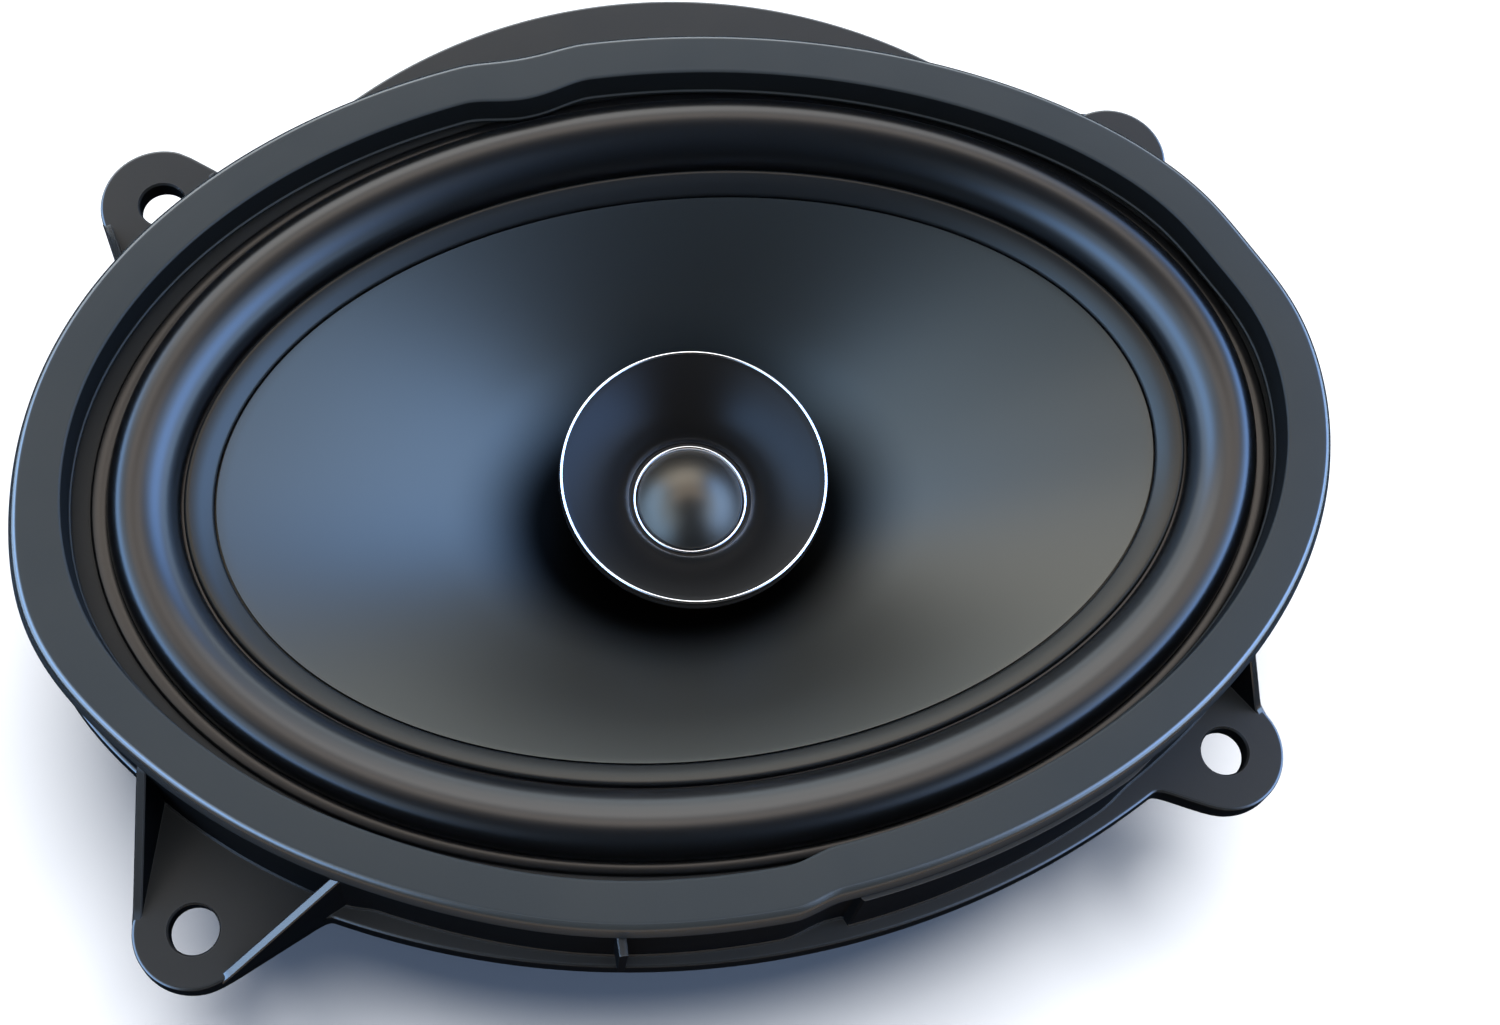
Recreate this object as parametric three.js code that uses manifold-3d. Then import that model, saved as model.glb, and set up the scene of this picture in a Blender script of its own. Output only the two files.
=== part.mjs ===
// Coaxial car speaker of the 6 x 9 inch class.
// Millimetres. +Z points out of the speaker towards the listener, +X runs along the long axis of the oval.
// Heights below are measured from the plane where the four mounting ears rest on the panel. The assembly
// is then raised, so that the part's origin is the centre of the magnet's rear face.
import * as THREE from "three";
import { mergeVertices } from "three/addons/utils/BufferGeometryUtils.js";
import Module from "manifold-3d";

const wasm = await Module();
wasm.setup();

// ---------------------------------------------------------------- driving dimensions
const GAP = 0.3; // clearance kept between neighbouring pieces
const OVAL_SEGMENTS = 60;
const ROUND_SEGMENTS = 32;

// Outline of the front ring: an oval that is a little fuller at one end and sits a little off the axis.
const RING_CENTRE_X = -1.4;
const RING_HALF_LENGTH = 116.4;
const RING_HALF_WIDTH = 82.2;
const RING_EGG = 0.024; // how much fuller the -X end is
const RING_NOTCH = { x: -22, halfLength: 12, depth: 1.05 }; // shallow notch in the +Y side
const RING_SHOULDER = { from: -70, full: -20, hold: 4, end: 13, height: 1.6 }; // bulge of the -Y side
// Gentle swells and hollows of the outline: where they are, how wide (both in degrees) and how strong.
// A swell with an inner share below 1 fades towards the ring's inner edge.
const RING_SWELLS = [
  { at: 33, width: 24, gain: 0.008, inner: 1 },
  { at: 20, width: 8, gain: -0.01, inner: 1 },
  { at: -140, width: 30, gain: -0.012, inner: 1 },
  { at: -166, width: 13, gain: 0.0155, inner: 0.35 },
];
const RING_TOP = 31;
const RING_LIP_HEIGHT = 3.7; // height of the ring's outer lip
const RING_FLARE = 1.2; // the lip widens this much towards its lower edge
const RING_FACE_WIDTH = 8;
const RING_SKIRT_THICKNESS = 2.5;

// Oval sections from the cone outwards: half length, half width and height of each line.
const CONE_EDGE = [88.3, 56.6, 20.2];
const CONE_LINE = [85.7, 54.2, 19]; // where the surround's glued band starts
const ROLL_INNER = [90.8, 58.6, 21.3];
const ROLL_OUTER = [103.3, 71.7, 23.3];
const BAND_OUTER = [106.3, 74.1, 23.3];
const ROLL_HEIGHT = 5.6;
const SURROUND_THICKNESS = 0.8;

// Frame.
const FLANGE_THICKNESS = 5;
const WALL_TOP = 27;
const WALL_THICKNESS = 2.5;
const WALL_TOP_OUTSET = 0.8; // the raised wall stands this far outside the ring's outline at its top
const WALL_FOOT_OUTSET = 1.4; // and this far at its foot
const INNER_RIM = 6; // the flange reaches this far inside the ring's outline
const GASKET_REBATE = { outset: 0.5, depth: 1.6 }; // recess under the inner rim for the foam strip
const GASKET_SINK = 0.1; // the strip's lower face sits this far above the ears' seat plane
const SEAT_TOP = 22.2; // ledge that carries the surround
const SEAT_THICKNESS = 3;
const SEAT_INNER = [101.5, 69.5]; // inner oval of that ledge
const LOBE_RADIUS = 160; // long side of the lower flange
const LOBE_CENTRE_Y = 72.8;
const LOBE_REACH = 78; // half length of that arc
// Round lobe on the +Y side, over the connector.
const CONNECTOR_LOBE = { x: 1.1, y: 4.0, r: 101.9, halfAngle: 1.05 };
const HOLE_RADIUS = 4.35;
// An ear has a hole, a round tip about it, and straight edges to roots on the oval's end and on its long side.
// A rib stands on the edge towards the end, and on most ears on the other edge too.
const EARS = [
  { x: -92.6, y: 70.0, tip: 12.0, end: [-98.5, 46], side: [-74.5, 64], sideRib: true },
  { x: -96.1, y: -68.7, tip: 10.8, end: [-101, -45], side: [-70, -68.2], sideRib: true },
  { x: 90.4, y: -61.4, tip: 11.4, end: [93.8, -46], side: [74, -66], sideRib: false },
  { x: 93.9, y: 60.6, tip: 11.4, end: [95.2, 46], side: [74, 66.5], sideRib: true },
];
const GUSSET_THICKNESS = 1.6;
// Windows cut through the bowl.
const WINDOWS = { count: 6, halfAngle: 0.36, outer: [91, 61.8], inner: [56, 53], bottom: -24, top: 12 };
const CHANNEL_RIBS = { count: 12, inner: [96.5, 66], outerInset: 0.6, thickness: 2 };
// Upright tab, hanging from the surround's ledge beside the bowl, that carries the terminal block.
const TAB = { x: 9, y: 70.5, halfWidth: 26, thickness: 2.5, bottom: -20, top: SEAT_TOP - 2 };

// Motor stack, from the spider down to the rear face.
const SPIDER_Z = -24;
const SPIDER_RADIUS = 44;
const SEAT_PLATE_TOP = -29.8;
const TOP_PLATE_TOP = -32.3;
const TOP_PLATE_THICKNESS = 6;
const MAGNET_THICKNESS = 17;
const MAGNET_RADIUS = 45;
const REAR_Z = -62;
const BACK_PLATE_THICKNESS = 6;
const PLATE_RADIUS = 42;
const POLE_RADIUS = 15.3;
const FORMER_RADIUS = 15.7;
const FORMER_THICKNESS = 0.5;
const WINDING_THICKNESS = 0.6;
const GAP_RADIUS = 17.5; // inner radius of the top plate
const NECK_Z = -15;
const CONE_THICKNESS = 1;
const CONE_CURVE = 0.12; // share of the cone's depth by which its side bows out

// Tweeter.
const STEM_RADIUS = 4;
const STEM_BORE = 2;
const HORN_MOUTH_Z = 14.3;
const HORN_MOUTH_RADIUS = 24.6;
const THROAT_Z = 1.3;
const THROAT_RADIUS = 11.6;
const DOME_RADIUS = 9.8;
const DOME_HEIGHT = 3.6;
const TWEETER_BASE_Z = -6;

// ---------------------------------------------------------------- solids
function vertexData(geometry) {
  const bare = geometry.clone();
  bare.deleteAttribute("normal");
  bare.deleteAttribute("uv");
  const merged = mergeVertices(bare, 1e-4);
  return {
    numProp: 3,
    vertProperties: merged.attributes.position.array,
    triVerts: new Uint32Array(merged.index.array),
  };
}

// A closed geometry as a manifold solid, turned the right way out.
function solid(geometry) {
  const data = vertexData(geometry);
  const made = new wasm.Manifold(new wasm.Mesh(data));
  if (made.volume() > 0) return made;
  for (let i = 0; i < data.triVerts.length; i += 3)
    [data.triVerts[i + 1], data.triVerts[i + 2]] = [data.triVerts[i + 2], data.triVerts[i + 1]];
  return new wasm.Manifold(new wasm.Mesh(data));
}

function join(...solids) {
  return solids.reduce((a, b) => a.add(b));
}

function geometryOf(made) {
  const mesh = made.getMesh();
  const geometry = new THREE.BufferGeometry();
  geometry.setAttribute("position", new THREE.BufferAttribute(mesh.vertProperties, 3));
  geometry.setIndex(new THREE.BufferAttribute(mesh.triVerts, 1));
  const faceted = geometry.toNonIndexed();
  faceted.computeVertexNormals();
  return faceted;
}

// ---------------------------------------------------------------- shape helpers
// A closed skin through a ring of equal loops; the last loop joins the first.
function loopGeometry(loops) {
  const count = loops[0].length;
  const positions = loops.flat(2);
  const index = [];
  loops.forEach((loop, j) => {
    const a = j * count;
    const b = ((j + 1) % loops.length) * count;
    for (let i = 0; i < count; i++) {
      const k = (i + 1) % count;
      index.push(a + i, a + k, b + k, a + i, b + k, b + i);
    }
  });
  const geometry = new THREE.BufferGeometry();
  geometry.setAttribute("position", new THREE.Float32BufferAttribute(positions, 3));
  geometry.setIndex(index);
  return geometry;
}

function angles(segments) {
  return Array.from({ length: segments }, (_, i) => (2 * Math.PI * i) / segments);
}

function ellipseLoop([halfLength, halfWidth, z], segments = OVAL_SEGMENTS) {
  return angles(segments).map((t) => [halfLength * Math.cos(t), halfWidth * Math.sin(t), z]);
}

// An oval ring whose section corners are [half length, half width, height].
function ovalSolid(corners, segments = OVAL_SEGMENTS) {
  return solid(loopGeometry(corners.map((corner) => ellipseLoop(corner, segments))));
}

// A round solid whose section corners are [radius, height].
function roundSolid(corners, segments = ROUND_SEGMENTS) {
  const closed = [...corners, corners[0]].map(([r, z]) => new THREE.Vector2(r, z));
  return solid(new THREE.LatheGeometry(closed, segments).rotateX(Math.PI / 2));
}

// A plate cut to a shape, from one height to another.
function plate(shape, bottom, top, curveSegments = 12) {
  const options = { depth: top - bottom, bevelEnabled: false, curveSegments };
  return solid(new THREE.ExtrudeGeometry(shape, options).translate(0, 0, bottom));
}

function box(sizeX, sizeY, sizeZ, x, y, z) {
  return solid(new THREE.BoxGeometry(sizeX, sizeY, sizeZ).translate(x, y, z));
}

function postZ(radius, bottom, top, x, y, segments = 16) {
  const cylinder = new THREE.CylinderGeometry(radius, radius, top - bottom, segments);
  return solid(cylinder.rotateX(Math.PI / 2).translate(x, y, (top + bottom) / 2));
}

// A thin wire through the given points.
function wire(points, radius, steps) {
  const curve = new THREE.CatmullRomCurve3(points.map((p) => new THREE.Vector3(...p)));
  const section = new THREE.Shape().absarc(0, 0, radius, 0, 2 * Math.PI);
  const options = { extrudePath: curve, steps, bevelEnabled: false, curveSegments: 2 };
  return solid(new THREE.ExtrudeGeometry(section, options));
}

function shapeFrom(points) {
  return new THREE.Shape(points.map(([x, y]) => new THREE.Vector2(x, y)));
}

function smooth(u) {
  const c = Math.min(1, Math.max(0, u));
  return c * c * (3 - 2 * c);
}

function bump(u) {
  return Math.abs(u) < 1 ? (1 - u * u) ** 2 : 0;
}

// How much the ring's outline swells at an angle, on the line that lies inset inside the outline.
function ringSwell(t, inset) {
  const depth = Math.min(1, Math.max(0, inset / RING_FACE_WIDTH));
  return RING_SWELLS.reduce((sum, { at, width, gain, inner }) => {
    const turn = THREE.MathUtils.radToDeg(t) - at;
    const away = THREE.MathUtils.euclideanModulo(turn + 180, 360) - 180;
    return sum + gain * (1 + (inner - 1) * depth) * Math.exp(-((away / width) ** 2));
  }, 1);
}

// A point on the front ring's outline, moved inwards by inset.
function ringPoint(t, inset) {
  const swell = ringSwell(t, inset);
  const x = RING_CENTRE_X + (RING_HALF_LENGTH - inset) * Math.cos(t) * swell;
  const y = (RING_HALF_WIDTH - inset) * Math.sin(t) * (1 - RING_EGG * Math.cos(t)) * swell;
  if (y > 0) return [x, y - RING_NOTCH.depth * bump((x - RING_NOTCH.x) / RING_NOTCH.halfLength)];
  const s = RING_SHOULDER;
  const rise = smooth((x - s.from) / (s.full - s.from));
  const fall = smooth((x - s.hold) / (s.end - s.hold));
  return [x, y - s.height * rise * (1 - fall)];
}

function ringLoop(inset, z, segments = OVAL_SEGMENTS) {
  return angles(segments).map((t) => [...ringPoint(t, inset), z]);
}

// A flat band that follows the ring's outline between two insets.
function ringBand(inner, outer, bottom, top) {
  const under = [ringLoop(inner, bottom), ringLoop(outer, bottom)];
  const over = [ringLoop(outer, top), ringLoop(inner, top)];
  return solid(loopGeometry([...under, ...over]));
}

// ---------------------------------------------------------------- frame
// The long side of the lower flange: a wide arc between two ears, closed by a chord inside the wall.
function sideLobe(sign) {
  const halfAngle = Math.asin(LOBE_REACH / LOBE_RADIUS);
  const middle = (sign * Math.PI) / 2;
  const shape = new THREE.Shape();
  shape.absarc(-1, -sign * LOBE_CENTRE_Y, LOBE_RADIUS, middle - halfAngle, middle + halfAngle);
  return shape;
}

function connectorLobe() {
  const { x, y, r, halfAngle } = CONNECTOR_LOBE;
  return new THREE.Shape().absarc(x, y, r, Math.PI / 2 - halfAngle, Math.PI / 2 + halfAngle);
}

// The point where a line from an outside point touches the ear's round tip.
function touchPoint([px, py], ear, turn) {
  const toRoot = Math.atan2(py - ear.y, px - ear.x);
  const distance = Math.hypot(px - ear.x, py - ear.y);
  const angle = toRoot + turn * Math.acos(ear.tip / distance);
  return { angle, x: ear.x + ear.tip * Math.cos(angle), y: ear.y + ear.tip * Math.sin(angle) };
}

// Which way round the tip runs from the long-end root to the long-side root.
function earTurn(ear) {
  return Math.sign(ear.x * ear.y);
}

function earShape(ear) {
  const turn = earTurn(ear);
  const a = touchPoint(ear.end, ear, turn);
  const b = touchPoint(ear.side, ear, -turn);
  const shape = new THREE.Shape();
  shape.moveTo(...ear.end);
  shape.lineTo(a.x, a.y);
  shape.absarc(ear.x, ear.y, ear.tip, a.angle, b.angle, turn < 0);
  shape.lineTo(...ear.side);
  shape.lineTo(ear.side[0] * 0.9, ear.end[1] * 0.9);
  return shape;
}

// A triangular rib that stands on the ear's edge and climbs from the tip to the raised wall.
function gusset(ear, root, turn) {
  const tip = touchPoint(root, ear, turn);
  const run = Math.hypot(root[0] - tip.x, root[1] - tip.y) + 3;
  const base = FLANGE_THICKNESS - 1;
  const side = shapeFrom([
    [0, base],
    [run, base],
    [run, WALL_TOP - 1],
    [run - 2, WALL_TOP - 1],
    [2, FLANGE_THICKNESS + 0.5],
  ]);
  const options = { depth: GUSSET_THICKNESS, bevelEnabled: false };
  const rib = new THREE.ExtrudeGeometry(side, options).rotateX(Math.PI / 2);
  if (turn < 0) rib.translate(0, GUSSET_THICKNESS, 0);
  rib.rotateZ(Math.atan2(root[1] - tip.y, root[0] - tip.x)).translate(tip.x, tip.y, 0);
  return solid(rib);
}

// The raised wall between the lower flange and the front ring.
function raisedWall() {
  const inset = WALL_THICKNESS - WALL_TOP_OUTSET;
  return solid(
    loopGeometry([
      ringLoop(-WALL_FOOT_OUTSET, 0),
      ringLoop(-WALL_TOP_OUTSET, WALL_TOP),
      ringLoop(inset, WALL_TOP),
      ringLoop(inset, 0),
    ]),
  );
}

// The ledge between the wall and the bowl that the surround and the ring's skirt sit on.
function surroundSeat() {
  const bottom = SEAT_TOP - SEAT_THICKNESS;
  return solid(
    loopGeometry([
      ringLoop(1, bottom),
      ringLoop(1, SEAT_TOP),
      ellipseLoop([...SEAT_INNER, SEAT_TOP]),
      ellipseLoop([...SEAT_INNER, bottom]),
    ]),
  );
}

// The bowl from the surround's ledge down to the spider's ledge and the plate on the magnet.
function bowl() {
  const shell = ovalSolid([
    [104, 72, SEAT_TOP - 1],
    [95.8, 65.2, 0],
    [53, 52, -21],
    [50, 50, -27.5],
    [40.8, 40.8, -27.5],
    [40.8, 40.8, SEAT_PLATE_TOP - 2.2],
    [19, 19, SEAT_PLATE_TOP - 2.2],
    [19, 19, SEAT_PLATE_TOP],
    [38.5, 38.5, SEAT_PLATE_TOP],
    [38.5, 38.5, SPIDER_Z - 1],
    [48, 48, SPIDER_Z - 1],
    [50, 49.5, -19.5],
    [93, 62.2, 1],
    [101.5, 69.5, SEAT_TOP - 1],
  ]);
  return shell.subtract(bowlWindows());
}

// The windows in the bowl leave spokes between its upper ring and the spider's ledge.
function bowlWindows() {
  const { count, halfAngle, outer, inner, bottom, top } = WINDOWS;
  const arc = ([a, b], middle, from, to) =>
    [0, 0.25, 0.5, 0.75, 1].map((u) => {
      const t = middle + from + (to - from) * u;
      return [a * Math.cos(t), b * Math.sin(t)];
    });
  const cutters = angles(count).map((t) => {
    const middle = Math.PI / 2 + t;
    const outerEdge = arc(outer, middle, -halfAngle, halfAngle);
    const innerEdge = arc(inner, middle, halfAngle, -halfAngle);
    const outline = [...outerEdge, ...innerEdge];
    return plate(shapeFrom(outline), bottom, top);
  });
  return join(...cutters);
}

// The lower flange with its lobes and ears, open inside its inner rim.
function lowerFlange() {
  const areas = [
    shapeFrom(ringLoop(-WALL_FOOT_OUTSET, 0)),
    sideLobe(1),
    sideLobe(-1),
    connectorLobe(),
    ...EARS.map(earShape),
  ];
  const whole = join(...areas.map((shape) => plate(shape, 0, FLANGE_THICKNESS, 16)));
  return whole.subtract(plate(shapeFrom(ringLoop(INNER_RIM, 0)), -1, FLANGE_THICKNESS + 1));
}

function gasketRebate() {
  const { outset, depth } = GASKET_REBATE;
  const inside = INNER_RIM + 1;
  return ringBand(inside, -outset, -1, depth);
}

function basket() {
  const endGussets = EARS.map((ear) => gusset(ear, ear.end, earTurn(ear)));
  const sideGussets = EARS.filter((ear) => ear.sideRib).map((ear) => gusset(ear, ear.side, -earTurn(ear)));
  const tabHeight = TAB.top - TAB.bottom;
  const tab = box(2 * TAB.halfWidth, TAB.thickness, tabHeight, TAB.x, TAB.y, TAB.bottom + tabHeight / 2);
  const shells = [lowerFlange(), raisedWall(), surroundSeat(), bowl()];
  const whole = join(...shells, tab, ...channelRibs(), ...endGussets, ...sideGussets);
  const earHoles = EARS.map((ear) => postZ(HOLE_RADIUS, -1, WALL_TOP, ear.x, ear.y));
  const rivetHoles = rivetPlaces().map(([x, y]) => postZ(RIVET_RADIUS + GAP, -35, -25, x, y, 12));
  return whole.subtract(join(gasketRebate(), ...earHoles, ...rivetHoles));
}

// Radial ribs that tie the bowl to the raised wall, behind the surround's ledge.
function channelRibs() {
  const { count, inner, outerInset, thickness } = CHANNEL_RIBS;
  const top = SEAT_TOP - 1;
  const bottom = GASKET_REBATE.depth;
  return angles(count).map((t) => {
    const middle = Math.PI / count + t;
    const start = [inner[0] * Math.cos(middle), inner[1] * Math.sin(middle)];
    const end = ringPoint(middle, outerInset);
    const length = Math.hypot(end[0] - start[0], end[1] - start[1]);
    const rib = new THREE.BoxGeometry(length, thickness, top - bottom);
    rib.rotateZ(Math.atan2(end[1] - start[1], end[0] - start[0]));
    rib.translate((start[0] + end[0]) / 2, (start[1] + end[1]) / 2, (top + bottom) / 2);
    return solid(rib);
  });
}

// Foam strip in the recess under the flange's inner rim. Its lower face is almost level with the ears.
function flangeGasket() {
  const outer = -GASKET_REBATE.outset + GAP;
  const inner = INNER_RIM - GAP;
  const bottom = GASKET_SINK;
  const top = GASKET_REBATE.depth - GAP;
  return ringBand(inner, outer, bottom, top);
}

function frontRing() {
  const lipBottom = RING_TOP - RING_LIP_HEIGHT;
  const skirtBottom = BAND_OUTER[2] + GAP; // the skirt holds the surround's band down
  return solid(
    loopGeometry([
      ringLoop(0.6, RING_TOP),
      ringLoop(0, RING_TOP - 0.6),
      ringLoop(-RING_FLARE, lipBottom),
      ringLoop(RING_FACE_WIDTH - RING_SKIRT_THICKNESS, lipBottom),
      ringLoop(RING_FACE_WIDTH - RING_SKIRT_THICKNESS, skirtBottom),
      ringLoop(RING_FACE_WIDTH, skirtBottom),
      ringLoop(RING_FACE_WIDTH, RING_TOP),
    ]),
  );
}

// ---------------------------------------------------------------- cone, surround, spider, coil
function lerp(a, b, u) {
  return a.map((v, i) => v + (b[i] - v) * u);
}

// A point of the cone's upper face: u = 0 at the neck, 1 at the edge.
function conePoint(u, drop) {
  const neck = [FORMER_RADIUS + FORMER_THICKNESS + GAP, FORMER_RADIUS + FORMER_THICKNESS + GAP, NECK_Z];
  const [a, b] = lerp(neck, CONE_EDGE, u);
  return [a, b, NECK_Z + (CONE_EDGE[2] - 1.2 - NECK_Z) * (u + CONE_CURVE * u * (1 - u)) - drop];
}

function cone() {
  const stations = [0, 0.33, 0.67, 1];
  const upper = stations.map((u) => conePoint(u, 0));
  const lower = stations.map((u) => conePoint(u, CONE_THICKNESS)).reverse();
  return ovalSolid([...upper, ...lower]);
}

function surround() {
  const crest = [0, 1, 2, 3, 4, 5].map((i) => {
    const t = i / 5;
    const [a, b, z] = lerp(ROLL_INNER, ROLL_OUTER, 0.5 - 0.5 * Math.cos(Math.PI * t));
    return [a, b, z + ROLL_HEIGHT * Math.sin(Math.PI * t)];
  });
  const upper = [CONE_LINE, ...crest, BAND_OUTER];
  const lower = upper.map(([a, b, z]) => [a, b, z - SURROUND_THICKNESS]).reverse();
  return ovalSolid(upper.concat(lower));
}

function spider() {
  const inner = FORMER_RADIUS + FORMER_THICKNESS + 0.4;
  const waves = [0, 1, 2, 3, 4, 5, 6];
  const upper = waves.map((i) => [inner + ((SPIDER_RADIUS - inner) * i) / 6, SPIDER_Z + (i % 2 ? 0.9 : 0)]);
  const lower = upper.map(([r, z]) => [r, z - 0.6]).reverse();
  return roundSolid([...upper, ...lower]);
}

function ringBetween(inner, outer, bottom, top) {
  return roundSolid([[inner, bottom], [outer, bottom], [outer, top], [inner, top]]);
}

// ---------------------------------------------------------------- motor
const MAGNET_TOP = TOP_PLATE_TOP - TOP_PLATE_THICKNESS - GAP;
const BACK_PLATE_TOP = REAR_Z + BACK_PLATE_THICKNESS;
const NUT_RECESS = { radius: 9, depth: 6.6 };
const RIVET_RADIUS = 1.8;
const RIVET_CIRCLE = 28;

function yoke() {
  const bore = STEM_RADIUS + GAP;
  const recessTop = REAR_Z + NUT_RECESS.depth;
  const body = roundSolid([
    [NUT_RECESS.radius, REAR_Z],
    [PLATE_RADIUS, REAR_Z],
    [PLATE_RADIUS, BACK_PLATE_TOP],
    [POLE_RADIUS, BACK_PLATE_TOP],
    [POLE_RADIUS, TOP_PLATE_TOP + 0.8],
    [bore, TOP_PLATE_TOP + 0.8],
    [bore, recessTop],
    [NUT_RECESS.radius, recessTop],
  ]);
  const wireGroove = box(5, PLATE_RADIUS + 4, 3.6, 0, PLATE_RADIUS / 2 + 4, REAR_Z + 1.6);
  return body.subtract(wireGroove);
}

function rivetPlaces() {
  return [0, 1, 2, 3].map((i) => {
    const t = Math.PI / 4 + (i * Math.PI) / 2;
    return [RIVET_CIRCLE * Math.cos(t), RIVET_CIRCLE * Math.sin(t)];
  });
}

function topPlate() {
  const bottom = TOP_PLATE_TOP - TOP_PLATE_THICKNESS;
  const disc = ringBetween(GAP_RADIUS, PLATE_RADIUS, bottom, TOP_PLATE_TOP);
  const holes = rivetPlaces().map(([x, y]) => postZ(RIVET_RADIUS + GAP, TOP_PLATE_TOP - 3, 0, x, y, 12));
  return disc.subtract(join(...holes));
}

function rivet([x, y]) {
  const shank = postZ(RIVET_RADIUS, TOP_PLATE_TOP - 2.5, SEAT_PLATE_TOP + 0.8, x, y, 12);
  const head = postZ(3.2, SEAT_PLATE_TOP + GAP, SEAT_PLATE_TOP + 1.3, x, y, 12);
  return shank.add(head);
}

// ---------------------------------------------------------------- tweeter on its stem
// The horn's inner face: u = 0 at the throat, 1 at the mouth.
function hornPoint(u) {
  const radius = THROAT_RADIUS + (HORN_MOUTH_RADIUS - 1 - THROAT_RADIUS) * u ** 1.5;
  return [radius, THROAT_Z + (HORN_MOUTH_Z - THROAT_Z) * u ** 0.85];
}

function tweeterHousing() {
  const face = [1, 0.75, 0.5, 0.25, 0].map(hornPoint);
  return roundSolid([
    [HORN_MOUTH_RADIUS, HORN_MOUTH_Z - 0.5],
    ...face,
    [THROAT_RADIUS, 0.8],
    [13.3, 0.8],
    [13.3, TWEETER_BASE_Z],
    [15, TWEETER_BASE_Z],
    [15.6, -1.5],
    [HORN_MOUTH_RADIUS, HORN_MOUTH_Z - 3],
  ]);
}

const STEM_BOTTOM = REAR_Z + 2.7;

function stem() {
  const top = TWEETER_BASE_Z - 3.1;
  return roundSolid([
    [STEM_BORE, STEM_BOTTOM],
    [STEM_RADIUS, STEM_BOTTOM],
    [STEM_RADIUS, top - 2],
    [6.5, top - 2],
    [6.5, top],
    [STEM_BORE, top],
  ], 20);
}

function stemNut() {
  const height = 3.6;
  const bottom = REAR_Z + NUT_RECESS.depth - height - GAP;
  const hexagon = postZ(6.8, bottom, bottom + height, 0, 0, 6);
  return hexagon.subtract(postZ(STEM_RADIUS + GAP, bottom - 1, bottom + height + 1, 0, 0, 20));
}

function dome() {
  const thickness = 0.5;
  const base = THROAT_Z - 0.2;
  const arc = (drop) =>
    [0, 1, 2, 3, 4].map((i) => {
      const r = (DOME_RADIUS * i) / 4;
      return [r, base + DOME_HEIGHT * (1 - (r / DOME_RADIUS) ** 2) - drop];
    });
  return roundSolid([...arc(0), ...arc(thickness).reverse()], 28);
}

// ---------------------------------------------------------------- wiring
const BLOCK = { y: 76, top: -3, bottom: -15 };

function terminalBlade(x, width) {
  return box(width, 0.8, 12, x, BLOCK.y, BLOCK.bottom - 1.2);
}

function terminalBlock() {
  const body = box(28, 6, BLOCK.top - BLOCK.bottom, 0, BLOCK.y - 0.7, (BLOCK.top + BLOCK.bottom) / 2);
  const slot = (x, width) => box(width + 2 * GAP, 0.8 + 2 * GAP, 6, x, BLOCK.y, BLOCK.bottom + 2);
  return body.subtract(slot(-7, 6.3)).subtract(slot(7, 4.8));
}

// A flexible lead from the tab across the bowl's window to the underside of the cone.
function tinselLead(side) {
  const x = 7 * side;
  const path = [
    [x, 68.2, -11],
    [x, 60, -9],
    [x * 0.9, 52, -8.5],
    [x * 0.8, 43, -4],
    [x * 0.7, 36, -1.2],
  ];
  return wire(path, 0.7, 12);
}

// A wire from the terminal block down behind the magnet, along the yoke's groove and up through the stem.
function tweeterWire(side) {
  const x = 0.85 * side;
  const path = [
    [4 * side, 75, -15.9],
    [3.5 * side, 73.5, -22.5],
    [3 * side, 66, -32],
    [1.2 * side, 52, -44],
    [x, 47.6, -55],
    [x, 45, -59.9],
    [x, 30, -60.3],
    [x, 8, -60.3],
    [x, 2.8, -60.3],
    [x, 0.6, -59.7],
    [x, 0, -57.5],
    [x, 0, -50],
    [x, 0, -30],
    [x, 0, TWEETER_BASE_Z - 0.4],
  ];
  return wire(path, 0.55, 64);
}

function capacitor() {
  const can = new THREE.CylinderGeometry(4.5, 4.5, 15, 16).rotateZ(Math.PI / 2).translate(25.5, 76.6, -8.4);
  return solid(can);
}

// ---------------------------------------------------------------- finishes
function finish(color, roughness, metalness) {
  return new THREE.MeshStandardMaterial({ color, roughness, metalness });
}

const FRAME_PLASTIC = finish(0x3c4147, 0.5, 0);
const RUBBER = finish(0x24262a, 0.35, 0);
const CONE_FINISH = finish(0x3a3d41, 0.42, 0);
const HORN_PLASTIC = finish(0x17191d, 0.4, 0);
const CHROME = finish(0xd8dadd, 0.15, 1);
const STEEL = finish(0x8d9196, 0.4, 1);
const FERRITE = finish(0x2f3033, 0.7, 0.1);
const NEODYMIUM = finish(0xb4b6b8, 0.3, 1);
const CLOTH = finish(0xb08a4a, 0.9, 0);
const KAPTON = finish(0x8a5a24, 0.5, 0);
const COPPER = finish(0xb06a3c, 0.35, 1);
const DOME_FILM = finish(0x33363b, 0.35, 0);
const TIN = finish(0xc2c3c0, 0.35, 1);
const WIRE_COAT = finish(0x1b1b1d, 0.55, 0);
const FOAM = finish(0x202123, 0.95, 0);
const FILM_BLUE = finish(0x2c4f7a, 0.4, 0);

// ---------------------------------------------------------------- assembly
const speaker = new THREE.Group();
const raised = new THREE.Group();
raised.position.z = -REAR_Z;
speaker.add(raised);

function place(name, made, material) {
  const mesh = new THREE.Mesh(geometryOf(made), material);
  mesh.name = name;
  raised.add(mesh);
}

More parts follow.
